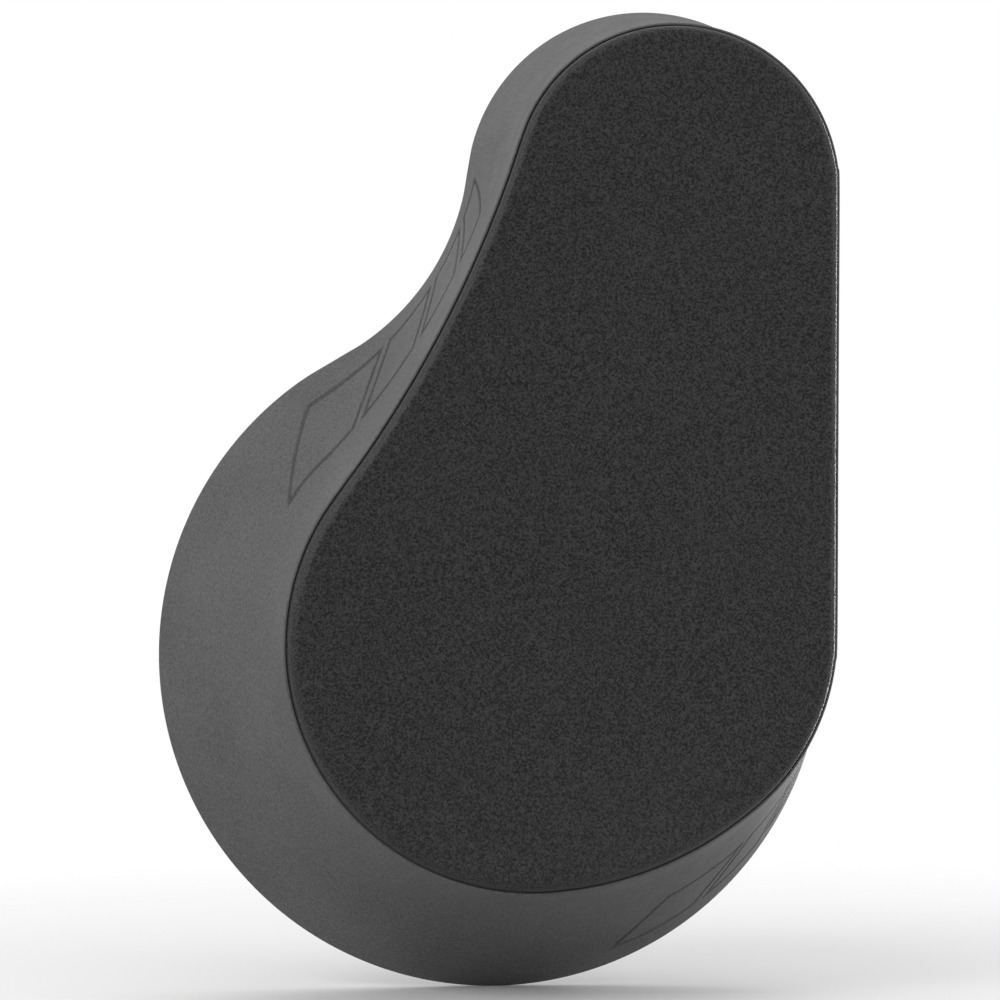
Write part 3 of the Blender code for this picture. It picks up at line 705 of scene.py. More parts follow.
COVER_SPACING = 2.0 * MM
COVER_RINGS = 24
COVER_INSET = 7.5 * MM
COVER_EDGE = 1.0 * MM
COVER_SEAM_INSET = 13 * MM
COVER_SEAM_DIP = 0.7 * MM
COVER_SEAM_WIDTH = 1.6 * MM
BINDING_RADIUS = 1.5 * MM
BINDING_INSET = 9.2 * MM
TRAY_WALL = 1.5 * MM
TRAY_EDGE = 1.2 * MM
TRAY_FLANGE = (18 * MM, 7 * MM)
TRAY_CORNER = 16 * MM
TRAY_FLANGE_CORNER = 14 * MM
TRAY_ROLL = 1.4 * MM
TRAY_FILLET = 6 * MM
TRAY_RIB_HEIGHT = 0.7 * MM
TRAY_RIB_PITCH = 3.2 * MM
FINE_STEP = 0.4 * MM
EDGE_TURNS = np.radians((0, 22.5, 45, 67.5, 90))


def plan(low, high):
    """Centre and half size of a box in X and Z."""
    centre = ((low.x + high.x) / 2, (low.z + high.z) / 2)
    return centre, np.array([high.x - low.x, high.z - low.z]) / 2


CORNER_STEPS = 12
SIDE_STEPS = 10


def rounded_rectangle(half, corner):
    """Points (x, z) of a rectangle with round corners around the origin, anticlockwise."""
    signs = np.array([(1, 1), (-1, 1), (-1, -1), (1, -1)])
    middles = signs * (np.asarray(half, float) - corner)
    points = []
    for number in range(4):
        turns = math.pi / 2 * (number + np.arange(CORNER_STEPS + 1) / CORNER_STEPS)
        around = corner * np.stack([np.cos(turns), np.sin(turns)], axis=1)
        points += (middles[number] + around[:-1]).tolist()
        start = middles[number] + around[-1]
        end = middles[(number + 1) % 4] + around[-1]
        points += [(start + (end - start) * k / SIDE_STEPS).tolist() for k in range(SIDE_STEPS)]
    return np.array(points)


def at_level(outline, y, centre=(0, 0)):
    """Lifts points (x, z) to a level along Y."""
    return xyz(outline[:, 0] + centre[0], y, outline[:, 1] + centre[1])


def matched_to(spokes, outline):
    """Points of an outline in the directions of the given spokes from the origin."""
    angles = np.arctan2(outline[:, 1], outline[:, 0])
    order = np.argsort(angles)
    return points_at(spokes, angles[order], outline[order], period=2 * math.pi)


def make_back_cover():
    """Laminated cloth over the foam: a sewn seam follows the edge, and the hand well is cut out."""
    at, _, _ = even_places(COVER_SPACING)
    low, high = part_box("back_cover")
    tray_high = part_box("hand_well_liner")[1]
    edge = wall_rows(at, [RIM_RADIUS])[0]
    well = np.array([tray_high.x, tray_high.z]) - TRAY_FLANGE + TRAY_WALL
    hole = matched_to(np.arctan2(edge[:, 2], edge[:, 0]), rounded_rectangle(well, TRAY_CORNER))

    def row(inset, y):
        ring = inset_row(edge, inset)
        ring[:, 1] = y
        return ring

    rows = [row(COVER_INSET, low.y)]
    rows += [row(COVER_INSET + inset, high.y - drop) for drop, inset in quarter_round(COVER_EDGE, EDGE_TURNS)]
    for inset in np.arange(COVER_INSET + 2 * COVER_EDGE, COVER_SEAM_INSET + 4 * MM, FINE_STEP):
        away = (inset - COVER_SEAM_INSET) / COVER_SEAM_WIDTH
        rows.append(row(inset, high.y - COVER_SEAM_DIP * math.exp(-(away**2))))
    outer = rows[-1]
    inner = at_level(hole, high.y)
    rows += [outer + (inner - outer) * share for share in np.linspace(0, 1, COVER_RINGS)[1:]]
    rows += [at_level(hole, low.y), rows[0]]
    add_piece("cover_cloth", grid_mesh(rows, capped=False), "back_fabric", sharp=60, node="back_cover")
    binding = inset_row(edge, BINDING_INSET)
    binding[:, 1] = high.y
    add_piece("cover_binding", tube_mesh(binding, BINDING_RADIUS, PIPING_SIDES, True), "webbing")
    seam = row(COVER_SEAM_INSET, high.y - COVER_SEAM_DIP)
    add_stitches("cover_stitches", [(seam, (0, 1, 0))], "back_fabric", closed=True)


def make_hand_tray():
    """The moulded tray round the fingers: rolled edge, filleted floor and low ribs on the floor."""
    low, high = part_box("hand_well_liner")
    flange = np.array([high.x, high.z])
    well = flange - TRAY_FLANGE
    under = high.y - TRAY_WALL
    floor = low.y + TRAY_WALL
    rows = []

    def ring(half, corner, inset, y):
        rows.append(at_level(rounded_rectangle(half - inset, max(corner - inset, 2 * MM)), y))

    for out, rise in quarter_round(TRAY_FILLET, EDGE_TURNS):
        ring(well, TRAY_CORNER, out - TRAY_WALL, low.y + rise)
    ring(well, TRAY_CORNER, -TRAY_WALL, under)
    ring(flange, TRAY_FLANGE_CORNER, 0, under)
    for drop, inset in quarter_round(TRAY_EDGE, EDGE_TURNS):
        ring(flange, TRAY_FLANGE_CORNER, inset, high.y - drop)
    for out, drop in quarter_round(TRAY_ROLL, EDGE_TURNS):
        ring(well, TRAY_CORNER, -out, high.y - drop)
    for rise, inset in quarter_round(TRAY_FILLET, EDGE_TURNS):
        ring(well, TRAY_CORNER, inset, floor + rise)
    for inset in np.arange(TRAY_FILLET + TRAY_RIB_PITCH / 2, well[1] - 3 * MM, FINE_STEP):
        wave = math.sin(2 * math.pi * (inset - TRAY_FILLET) / TRAY_RIB_PITCH)
        ring(well, TRAY_CORNER, inset, floor + TRAY_RIB_HEIGHT * max(0, wave) ** 0.5)
    add_piece("hand_well_tray", grid_mesh(rows), "liner_plastic", sharp=50, node="hand_well_liner")


# ---- hand grip ----

SLEEVE_CROWN = 1.5 * MM
SLEEVE_RIDGES = 4
SLEEVE_RIDGE_HEIGHT = 0.6 * MM
SLEEVE_BEAD = 1.2 * MM
SLEEVE_BORE = 8.3 * MM
SLEEVE_COLUMNS = 180
SLEEVE_ROWS = 240
KNURL_TURNS = 22
KNURL_TWIST = 2.2 * math.pi
KNURL_DEPTH = 0.45 * MM
KNURL_GROOVE = (0.04, 0.3)
# Shares of the sleeve's half length where the knurling ends, the bead starts and the end is eased.
KNURL_END = (0.86, 0.89)
BEAD_START = (0.91, 0.93)
EASE_START = 0.97
SLEEVE_EASE = 1.6 * MM
BRACKET_HEAD = 13 * MM
BRACKET_FOOT = 5 * MM
BRACKET_EDGE = 1.4 * MM
BRACKET_FILLET = ((1.5 * MM, 0.5 * MM), (0, 2.2 * MM))  # above the foot, and out from the head
BRACKET_POINTS = 240
BRACKET_SMOOTHINGS = 6
BRACKET_POCKET = ((2.6 * MM, 0), (2.9 * MM, 0.4 * MM), (3.2 * MM, 1.6 * MM))


def sleeve_radius(along, turns, top):
    """Radius of the sleeve at a place from -1 to 1 along it, over all its turns."""
    crown = SLEEVE_CROWN * (1 - along**2)
    ridge = SLEEVE_RIDGE_HEIGHT * math.cos(math.pi * SLEEVE_RIDGES * along)
    bead = SLEEVE_BEAD * smooth_step(abs(along), *BEAD_START)
    eased = SLEEVE_EASE * max(0, (abs(along) - EASE_START) / (1 - EASE_START)) ** 3
    slant = KNURL_TWIST * along / 2
    first = np.abs(np.sin(KNURL_TURNS * (turns + slant) / 2))
    second = np.abs(np.sin(KNURL_TURNS * (turns - slant) / 2))
    groove = 1 - smooth_step(np.minimum(first, second), *KNURL_GROOVE)
    groove *= 1 - smooth_step(abs(along), *KNURL_END)
    return top - SLEEVE_CROWN + crown - ridge + bead - eased - KNURL_DEPTH * groove


def make_grip_sleeve():
    """A soft sleeve: crowned, with finger ridges and a cross-hatched surface between end beads."""
    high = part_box("grip_sleeve")[1]
    turns = full_turn(SLEEVE_COLUMNS)

    def ring(along, radius):
        return xyz(high.x * along, radius * np.cos(turns), radius * np.sin(turns))

    places = np.linspace(-1, 1, SLEEVE_ROWS)
    rows = [ring(along, sleeve_radius(along, turns, high.z - SLEEVE_RIDGE_HEIGHT)) for along in places]
    rows += [ring(1, SLEEVE_BORE), ring(-1, SLEEVE_BORE), rows[0]]
    add_piece("grip_sleeve_soft", grid_mesh(rows, capped=False), "grip_rubber", node="grip_sleeve")


def bracket_side(low, high):
    """Side view (y, z) of a bracket as evenly spaced points with eased corners."""
    top = low.y + BRACKET_FOOT
    head = BRACKET_HEAD
    turns = np.linspace(0, math.pi, 25)
    flank = [(top + up, head + out) for up, out in BRACKET_FILLET] + [(top, high.z), (low.y, high.z)]
    points = [(head * math.sin(turn), head * math.cos(turn)) for turn in turns]
    points += [(y, -z) for y, z in flank] + flank[::-1]
    points = np.array(points + points[:1])
    length = distance_along(points)
    even = np.linspace(0, length[-1], BRACKET_POINTS, endpoint=False)
    side = points_at(even, length, points)
    for _ in range(BRACKET_SMOOTHINGS):
        side = (np.roll(side, 1, axis=0) + 2 * side + np.roll(side, -1, axis=0)) / 4
    return xyz(side[:, 0], 0, side[:, 1])


def make_bracket(side):
    """A moulded saddle with eased edges and a shallow pocket in its outer face."""
    node = "grip_bracket_" + side
    low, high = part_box(node)
    outline = bracket_side(low, high)
    out = 1 if side == "right" else -1
    inner, outer = (low.x, high.x) if side == "right" else (high.x, low.x)
    if outline_turns_right(outline):
        outline = outline[::-1]

    def row(x, inset):
        ring = inset_row(outline, inset)
        return xyz(x, ring[:, 0], ring[:, 2])

    eased = quarter_round(BRACKET_EDGE, EDGE_TURNS)
    rows = [row(inner + out * depth, inset) for depth, inset in reversed(eased)]
    rows += [row(outer - out * depth, inset) for depth, inset in eased]
    rows += [row(outer - out * depth, inset) for inset, depth in BRACKET_POCKET]
    add_piece("grip_saddle_" + side, grid_mesh(rows), "bracket_plastic", sharp=50, node=node)


def outline_turns_right(outline):
    """True where a closed outline in X and Z runs clockwise."""
    x, z = outline[:, 0], outline[:, 2]
    return float(np.sum(x * np.roll(z, -1) - z * np.roll(x, -1))) < 0


# ---- screws ----

SCREW_SIDES = 48
# Head from its underside to the socket's rim: share of its height and of its radius.
HEAD_SHAPE = ((0, 0.94), (0.06, 0.99), (0.12, 1), (0.5, 1), (0.72, 0.97), (0.88, 0.9), (0.97, 0.8), (1, 0.68))
SOCKET_SIZE = 0.5
SOCKET_DEPTH = 0.62
SOCKET_CHAMFER = (0.12 * MM, 0.15 * MM)
SOCKET_CONE = (0.25 * MM, 0.3)  # depth of the drill's cone, and its share of the socket at the bottom
SHANK_TIP = (0.5 * MM, 0.7)  # length of the tapered tip, and its share of the shank
# How many screws of a name there are, and the shank's radius and the head's height.
SCREWS = {"grip_screw": (4, 2.4 * MM, 2.8 * MM), "lower_strap_screw": (4, 1.9 * MM, 2.2 * MM)}
SCREWS["upper_strap_screw"] = SCREWS["lower_strap_screw"]


def hexagon(turns):
    """Radius of a hexagon of unit apothem at each turn."""
    return 1 / np.cos((turns + math.pi / 6) % (math.pi / 3) - math.pi / 6)


def screw_mesh(low, high, shank, head_height):
    """A button-head screw along Y with a hexagon socket."""
    turns = full_turn(SCREW_SIDES)
    radius = (high.x - low.x) / 2
    seat = high.y - head_height

    def ring(y, r):
        return xyz(r * np.cos(turns), y, r * np.sin(turns))

    tip, taper = SHANK_TIP
    wide, deep = SOCKET_CHAMFER
    cone, point = SOCKET_CONE
    rows = [ring(low.y, shank * taper), ring(low.y + tip, shank), ring(seat, shank)]
    rows += [ring(seat + share * head_height, width * radius) for share, width in HEAD_SHAPE]
    socket = SOCKET_SIZE * radius * hexagon(turns)
    floor = high.y - SOCKET_DEPTH * head_height
    rows += [ring(high.y, socket + wide), ring(high.y - deep, socket), ring(floor, socket)]
    rows += [ring(floor - cone, socket * point)]
    return grid_mesh(rows)


def make_screws():
    """Twelve button-head screws in the places of the frame's screws."""
    for prefix, (count, shank, head_height) in SCREWS.items():
        for number in range(1, count + 1):
            node = f"{prefix}_{number}"
            low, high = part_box(node)
            mesh = screw_mesh(low, high, shank, head_height)
            (x, z), _ = plan(low, high)
            mesh.transform(Matrix.Translation((x, 0, z)))
            add_piece(node + "_socket", mesh, "steel", sharp=40, node=node)


# ---- wire loops ----

WIRE_RADIUS = 2.0 * MM
WIRE_BEND = 3.4 * MM
WIRE_HALF = 22.5 * MM
FOOT_HALF = (6 * MM, 6.75 * MM)
FOOT_CENTRE = 27.25 * MM
FOOT_THICKNESS = 1.6 * MM
FOOT_EDGE = 0.5 * MM
FOOT_CORNER = 5.2 * MM
WELD_WIDTH = 1.3 * MM
WELD_HEIGHT = 0.9 * MM
WIRE_SIDES = 24
LEG_POINTS, BEND_POINTS, STRAIGHT_POINTS = 12, 13, 20


def wire_mesh(centre, foot_top, pivot_y):
    """Round wire up from one foot, along the pivot and down to the other, with weld fillets."""
    leg = np.linspace(foot_top - FOOT_THICKNESS / 2, pivot_y - WIRE_BEND, LEG_POINTS)[:-1]
    bend = quarter_round(WIRE_BEND, np.linspace(0, math.pi / 2, BEND_POINTS))
    half = [(y, WIRE_HALF) for y in leg]
    half += [(pivot_y - drop, WIRE_HALF - inset) for drop, inset in bend]
    half = np.array(half)
    straight = np.array([(pivot_y, z) for z in np.linspace(half[-1, 1], -half[-1, 1], STRAIGHT_POINTS)[1:-1]])
    side = np.concatenate([half, straight, (half * (1, -1))[::-1]])
    path = xyz(centre.x, side[:, 0], centre.z + side[:, 1])
    above = np.maximum(side[:, 0] - foot_top, 0)
    radius = WIRE_RADIUS + WELD_WIDTH * np.exp(-((above / WELD_HEIGHT) ** 1.5))
    radius[np.abs(side[:, 1]) < WIRE_HALF - WIRE_BEND / 2] = WIRE_RADIUS
    return tube_mesh(path, radius, WIRE_SIDES)


def foot_mesh(centre, base):
    """A stamped foot plate with eased edges."""
    rows = [at_level(rounded_rectangle(FOOT_HALF, FOOT_CORNER), base, centre)]
    for drop, inset in quarter_round(FOOT_EDGE, EDGE_TURNS):
        ring = rounded_rectangle(np.array(FOOT_HALF) - inset, FOOT_CORNER - inset)
        rows.append(at_level(ring, base + FOOT_THICKNESS - drop, centre))
    return grid_mesh(rows)


def make_wire_loops():
    """Four footman loops of plated wire on screwed feet."""
    for strap in ("lower", "upper"):
        for side, joint in (("right", "long"), ("left", "short")):
            node = f"{strap}_wire_loop_{side}"
            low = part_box(node)[0]
            pivot = Vector(JOINTS[f"{strap}_{joint}_swing"]["pos_m"])
            meshes = [wire_mesh(pivot, low.y + FOOT_THICKNESS, pivot.y)]
            for end in (-1, 1):
                meshes.append(foot_mesh((pivot.x, pivot.z + end * FOOT_CENTRE), low.y))
            add_piece(node + "_plated", joined(meshes), "steel", sharp=40, node=node)


# ---- straps ----

WEBBING_WIDTH = 38 * MM
WEBBING = 1.8 * MM
TAPE = 1.2 * MM
TAPE_WIDTH = 34 * MM
TAPE_GAP = 0.3 * MM
TAPE_SEAM_INSET = 1.8 * MM
EYE_RADIUS = 3.55 * MM
EYE_CLEAR = 9 * MM
EYE_TURN = (165, 375)  # degrees that the webbing turns through round the wire
SEWN_LENGTH = 24 * MM
SEWN_BOX = (12 * MM, 22.5 * MM)
SEAM_HALF_WIDTH = 15.5 * MM
# Places on the arch in degrees: 0 is the long strap's wire and 180 the short one's.
LIFT_ARC = (25, 85)
LONG_END = 140
SHORT_END = 88
LOOP_TAPE_ARC = (92, 158)
HOOK_TAPE_ARC = (104, 138)
TAB_ARC = (124, 153)
TAB_THICKNESS = 1.6 * MM
TAB_WIDTH = 30 * MM
TAB_FLARE = 4 * MM
TAB_FLARE_FROM = 136
TAB_RIBS = (141.5, 144, 146.5, 149)
TAB_RIB = (0.9, 0.8 * MM)  # half width in degrees, and height
TAB_SEAM_INSET = 2 * MM
TAB_CORNER = (6, 6 * MM)  # size of its round corners in degrees along it and across it
BAND_STEP = 0.8 * MM
SEWN_POINTS, EYE_POINTS = 8, 15
BAND_ACROSS = 26
BAND_EDGE_TURNS = 8
ARC_STEPS = 60
SEAM_STEPS = 40
SEAM_MARGIN = 1.2  # degrees between a patch's ends and its stitching


class Strap:
    """One closure's arch over the forearm, read from the frame."""

    def __init__(self, name):
        self.name = name
        right = Vector(JOINTS[name + "_long_swing"]["pos_m"])
        left = Vector(JOINTS[name + "_short_swing"]["pos_m"])
        self.centre = ((right.x + left.x) / 2, right.y)
        self.span = (right.x - left.x) / 2
        self.z = right.z
        short_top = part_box(name + "_short_strap")[1].y
        self.rise = short_top - right.y - WEBBING / 2
        self.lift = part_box(name + "_long_strap")[1].y - short_top

    def normal(self, degrees):
        turn = np.radians(degrees)
        return unit(np.stack([np.cos(turn) / self.span, np.sin(turn) / self.rise], axis=-1))

    def point(self, degrees, offset):
        """Points (x, y) on the arch, moved outwards by an offset."""
        turn = np.radians(degrees)
        on_arch = np.stack([self.span * np.cos(turn), self.rise * np.sin(turn)], axis=-1) + self.centre
        return on_arch + self.normal(degrees) * np.reshape(offset, (-1, 1))

    def raised(self, degrees):
        """How far the long strap rides outside the arch, to pass over the short one."""
        return self.lift * smooth_step(degrees, *LIFT_ARC)

    def on_surface(self, degrees, width, offset):
        """Points in space on the arch at a place across its width, and their outward normals."""
        degrees = np.asarray(degrees, float)
        flat = self.point(degrees, offset)
        return xyz(*flat.T, self.z + width), xyz(*self.normal(degrees).T, 0)


def even_path(points):
    """Evenly spaced points on a smooth curve through control points, and the distance along it."""
    points = np.asarray(points, float)
    ends = np.concatenate([[2 * points[0] - points[1]], points, [2 * points[-1] - points[-2]]])
    dense = []
    for k in range(1, len(ends) - 2):
        dense += [spline(*ends[k - 1 : k + 3], t) for t in np.linspace(0, 1, 12, endpoint=False)]
    dense = np.array(dense + [points[-1]])
    length = distance_along(dense)
    along = np.linspace(0, length[-1], int(length[-1] / BAND_STEP))
    return points_at(along, length, dense), along


def band_mesh(path, along, z, low, high, half_width):
    """A flat band along a path (x, y) with round edges and a UV map in metres.

    low and high are how far it reaches to both sides of the path, outwards positive.
    """
    tangent = tangents(path, closed=False)
    outwards = np.stack([tangent[:, 1], -tangent[:, 0]], axis=1)
    low, high, half_width = (np.broadcast_to(value, len(path)) for value in (low, high, half_width))
    thick = (high - low) / 2
    across = np.linspace(-1, 1, BAND_ACROSS)
    turns = np.linspace(0, math.pi, BAND_EDGE_TURNS)[1:-1]
    rows = []
    for k in range(len(path)):
        flat = half_width[k] - thick[k]
        w = np.concatenate([flat * across, flat + thick[k] * np.sin(turns)])
        w = np.concatenate([w, -w])
        t = np.concatenate([np.full(len(across), thick[k]), thick[k] * np.cos(turns)])
        t = np.concatenate([t, -t]) + (high[k] + low[k]) / 2
        xy = path[k] + t[:, None] * outwards[k]
        rows.append(xyz(*xy.T, z + w))
    mesh = grid_mesh(rows)
    width = len(rows[0])
    uv = mesh.uv_layers.new(name="along_band").data
    for loop in mesh.loops:
        row = loop.vertex_index // width
        uv[loop.index].uv = (along[row], mesh.vertices[loop.vertex_index].co.z - z)
    return mesh


def strap_path(strap, pivot_degrees, end_degrees, offset):
    """Centre line of the webbing: from its sewn end to the wire, round it, and out along the arch."""
    out = 1 if end_degrees > pivot_degrees else -1
    pivot = strap.point(pivot_degrees, 0)[0]
    outwards = strap.normal(pivot_degrees)

    def degrees_at(length):
        return pivot_degrees + out * math.degrees(length / strap.rise)

    inner = np.linspace(degrees_at(SEWN_LENGTH), degrees_at(EYE_CLEAR), SEWN_POINTS)
    turns = np.radians(np.linspace(*EYE_TURN, EYE_POINTS))
    eye = pivot + EYE_RADIUS * around(turns, outwards, np.array([0, 1]))
    outer = np.linspace(degrees_at(EYE_CLEAR), end_degrees, int(abs(end_degrees - pivot_degrees) / 2))
    path = [strap.point(inner, -WEBBING), eye, strap.point(outer, offset(outer))]
    return np.concatenate(path)


def strap_seams(strap, pivot_degrees, out, offset):
    """Box and cross stitching through the doubled webbing, on its outside and its inside."""
    near, far = (pivot_degrees + out * math.degrees(length / strap.rise) for length in SEWN_BOX)
    corners = [(near, -1), (far, -1), (far, 1), (near, 1), (near, -1), (far, 1)]
    lines = list(zip(corners, corners[1:])) + [((near, 1), (far, -1))]
    seams = []
    for (from_degrees, from_side), (to_degrees, to_side) in lines:
        degrees = np.linspace(from_degrees, to_degrees, 14)
        width = np.linspace(from_side, to_side, 14) * SEAM_HALF_WIDTH
        outside, normal = strap.on_surface(degrees, width, offset(degrees) + WEBBING / 2)
        inside, _ = strap.on_surface(degrees, width, -1.5 * WEBBING)
        seams += [(outside, normal), (inside, -normal)]
    return seams


def edge_seams(strap, arc, half_width, offset):
    """Stitching round the edge of a patch."""
    degrees = np.linspace(arc[0] + SEAM_MARGIN, arc[1] - SEAM_MARGIN, SEAM_STEPS)
    seams = []
    for side in (-1, 1):
        seams.append(strap.on_surface(degrees, side * half_width, offset(degrees)))
    for end in (degrees[0], degrees[-1]):
        place = np.full(12, end)
        seams.append(strap.on_surface(place, np.linspace(-1, 1, 12) * half_width, offset(place)))
    return seams


def arc_band(strap, arc, offset, low, high, half_width):
    """A band along part of the arch; the sizes may be functions of the degrees."""
    degrees = np.linspace(*arc, ARC_STEPS)
    path = strap.point(degrees, offset)
    along = distance_along(path)
    sizes = [size(degrees) if callable(size) else size for size in (low, high, half_width)]
    return band_mesh(path, along, strap.z, *sizes)


def make_webbing(strap, kind, pivot_degrees, end_degrees, offset):
    """One half of the closure: webbing round its wire, sewn back on itself."""
    body = f"{strap.name}_{kind}_half"
    out = 1 if end_degrees > pivot_degrees else -1
    path, along = even_path(strap_path(strap, pivot_degrees, end_degrees, offset))
    name = f"{strap.name}_{kind}_webbing"
    mesh = band_mesh(path, along, strap.z, -WEBBING / 2, WEBBING / 2, WEBBING_WIDTH / 2)
    add_piece(name, mesh, "webbing", body, node=f"{strap.name}_{kind}_strap")
    seams = strap_seams(strap, pivot_degrees, out, offset)
    add_stitches(name + "_stitches", seams, "webbing", body)


def flat_offset(degrees):
    """No offset: the short strap lies on the arch itself."""
    return np.zeros_like(degrees)


def make_tapes(strap):
    """Loop tape on the short strap and hook tape under the long one, both sewn round their edges."""
    loop_middle = WEBBING / 2 + TAPE_GAP + TAPE / 2
    hook_middle = loop_middle + TAPE + TAPE_GAP
    tapes = (
        ("loop", "short", LOOP_TAPE_ARC, loop_middle, 1),
        ("hook", "long", HOOK_TAPE_ARC, hook_middle, -1),
    )
    for kind, half, arc, middle, up in tapes:
        node = f"{strap.name}_{kind}_tape"
        body = f"{strap.name}_{half}_half"
        mesh = arc_band(strap, arc, middle, -TAPE / 2, TAPE / 2, TAPE_WIDTH / 2)
        add_piece(node + "_sewn", mesh, "fastener_tape", body, kind + "_tape", node=node)
        seam = TAPE_WIDTH / 2 - TAPE_SEAM_INSET
        seams = edge_seams(strap, arc, seam, lambda d: middle + up * TAPE / 2 + 0 * d)
        seams = [(path, up * normal) for path, normal in seams]
        add_stitches(node + "_sewn_stitches", seams, "fastener_tape", body)


def make_pull_tab(strap):
    """A moulded tab: raised bars across its free end, which flares outwards and has round corners."""
    inside = strap.lift + WEBBING / 2 + TAPE_GAP

    def low(degrees):
        return TAB_FLARE * smooth_step(degrees, TAB_FLARE_FROM, TAB_ARC[1])

    def high(degrees):
        ribs = sum(np.exp(-(((degrees - rib) / TAB_RIB[0]) ** 4)) for rib in TAB_RIBS)
        return low(degrees) + TAB_THICKNESS + TAB_RIB[1] * ribs

    def half_width(degrees):
        left = (TAB_ARC[1] - degrees) / TAB_CORNER[0]
        return TAB_WIDTH / 2 - TAB_CORNER[1] * (1 - np.sqrt(1 - np.clip(1 - left, 0, 1) ** 2))

    node = strap.name + "_pull_tab"
    body = strap.name + "_long_half"
    mesh = arc_band(strap, TAB_ARC, inside, low, high, half_width)
    add_piece(node + "_moulded", mesh, "tab_rubber", body, sharp=50, node=node)
    sewn = (TAB_ARC[0], TAB_FLARE_FROM)
    seams = edge_seams(strap, sewn, TAB_WIDTH / 2 - TAB_SEAM_INSET, lambda d: inside + high(d))
    add_stitches(node + "_moulded_stitches", seams, "tab_rubber", body)


def make_straps():
    """Both closures, each in a long and a short half with their tapes and pull tab."""
    for name in ("lower", "upper"):
        strap = Strap(name)
        make_webbing(strap, "long", 0, LONG_END, strap.raised)
        make_webbing(strap, "short", 180, SHORT_END, flat_offset)
        make_tapes(strap)
        make_pull_tab(strap)


# ---- forearm cushion ----

CUSHION_CORNER = 26 * MM
CUSHION_SHRINK = 2.5 * MM
CUSHION_PROFILE = ((0, 0), (0.35, 0), (0.75, 2 * MM), (1, 7 * MM))  # share of height, and inset
CUSHION_BASE = 4 * MM
CUSHION_VOXEL = 4 * MM
CUSHION_PRESSURE = 4
CUSHION_FRAMES = 20
CUSHION_SWELL = 4 * MM
CHANNEL_PITCH = 22 * MM
CHANNEL_DEPTH = 4.2 * MM
CHANNEL_WIDTH = 2.4 * MM
CHANNEL_MARGIN = 5 * MM
RAY_STEP = 1 * MM
RAY_HEIGHT = 50 * MM
PIPING_RADIUS = 1.6 * MM


def cushion_block(low, high):
    """The cushion before it is inflated: a rounded slab, slightly smaller than its space."""
    centre, half = plan(low, high)
    thickness = high.y - low.y - CUSHION_SHRINK
    rows = []
    for share, inset in CUSHION_PROFILE:
        ring = rounded_rectangle(half - CUSHION_SHRINK - inset, CUSHION_CORNER - inset)
        rows.append(at_level(ring, low.y + share * thickness, centre))
    return grid_mesh(rows)


def inflate(piece, low):
    """Blows the cushion up with cloth simulation; its base stays where it is sewn down."""
    remesh = piece.modifiers.new("remesh", "REMESH")
    remesh.mode = "VOXEL"
    remesh.voxel_size = CUSHION_VOXEL
    apply_modifiers(piece)
    rest = vertex_points(piece)
    sewn = piece.vertex_groups.new(name="sewn")
    sewn.add(np.nonzero(rest[:, 1] < low.y + CUSHION_BASE)[0].tolist(), 1.0, "REPLACE")
    cloth = piece.modifiers.new("cloth", "CLOTH")
    cloth.settings.use_pressure = True
    cloth.settings.uniform_pressure_force = CUSHION_PRESSURE
    cloth.settings.effector_weights.gravity = 0
    cloth.settings.vertex_group_mass = "sewn"
    cloth.point_cache.frame_start = 1
    cloth.point_cache.frame_end = CUSHION_FRAMES
    for number in range(1, CUSHION_FRAMES + 1):
        bpy.context.scene.frame_set(number)
    apply_modifiers(piece)
    bpy.context.scene.frame_set(1)
    swollen = vertex_points(piece)
    move = swollen - rest
    length = np.maximum(np.linalg.norm(move, axis=1, keepdims=True), 1e-9)
    swollen = rest + move * np.minimum(1, CUSHION_SWELL / length)
    piece.data.vertices.foreach_set("co", swollen.ravel())
    smoother = piece.modifiers.new("smoother", "SUBSURF")
    smoother.levels = smoother.render_levels = 2
    apply_modifiers(piece)


def vertex_points(piece):
    """The places of a piece's vertices."""
    return np.array([vertex.co for vertex in piece.data.vertices])


def apply_modifiers(piece):
    """Replaces the piece's mesh with what its modifiers make of it."""
    graph = bpy.context.evaluated_depsgraph_get()
    graph.update()
    final = bpy.data.meshes.new_from_object(piece.evaluated_get(graph), depsgraph=graph)
    piece.modifiers.clear()
    piece.data = final


def channel_places(low, high):
    """Where the sewn channels cross the cushion, along Z."""
    count = int((high.z - low.z) / CHANNEL_PITCH)
    middle = (low.z + high.z) / 2
    return [middle + (k - (count - 1) / 2) * CHANNEL_PITCH for k in range(count)]


def sew_channels(piece, low, high):
    """Pulls the top down along each channel and settles the base on the cover."""
    points = vertex_points(piece)
    above = smooth_step(points[:, 1], low.y + CUSHION_BASE / 2, high.y)
    for z in channel_places(low, high):
        pull = CHANNEL_DEPTH * np.exp(-(((points[:, 2] - z) / CHANNEL_WIDTH) ** 2))
        points[:, 1] -= pull * above
    points[:, 1] = np.maximum(points[:, 1], low.y)
    piece.data.vertices.foreach_set("co", points.ravel())
    piece.data.update()


def channel_seams(piece, low, high):
    """Stitch paths in the channels, laid on the finished surface."""
    seams = []
    for z in channel_places(low, high):
        path = []
        for x in np.arange(low.x + CHANNEL_MARGIN, high.x - CHANNEL_MARGIN, RAY_STEP):
            hit, place, _, _ = piece.ray_cast(Vector((x, high.y + RAY_HEIGHT, z)), Vector((0, -1, 0)))
            if hit and place.y > low.y + CUSHION_BASE:
                path.append(tuple(place))
        seams.append((np.array(path), (0, 1, 0)))
    return seams


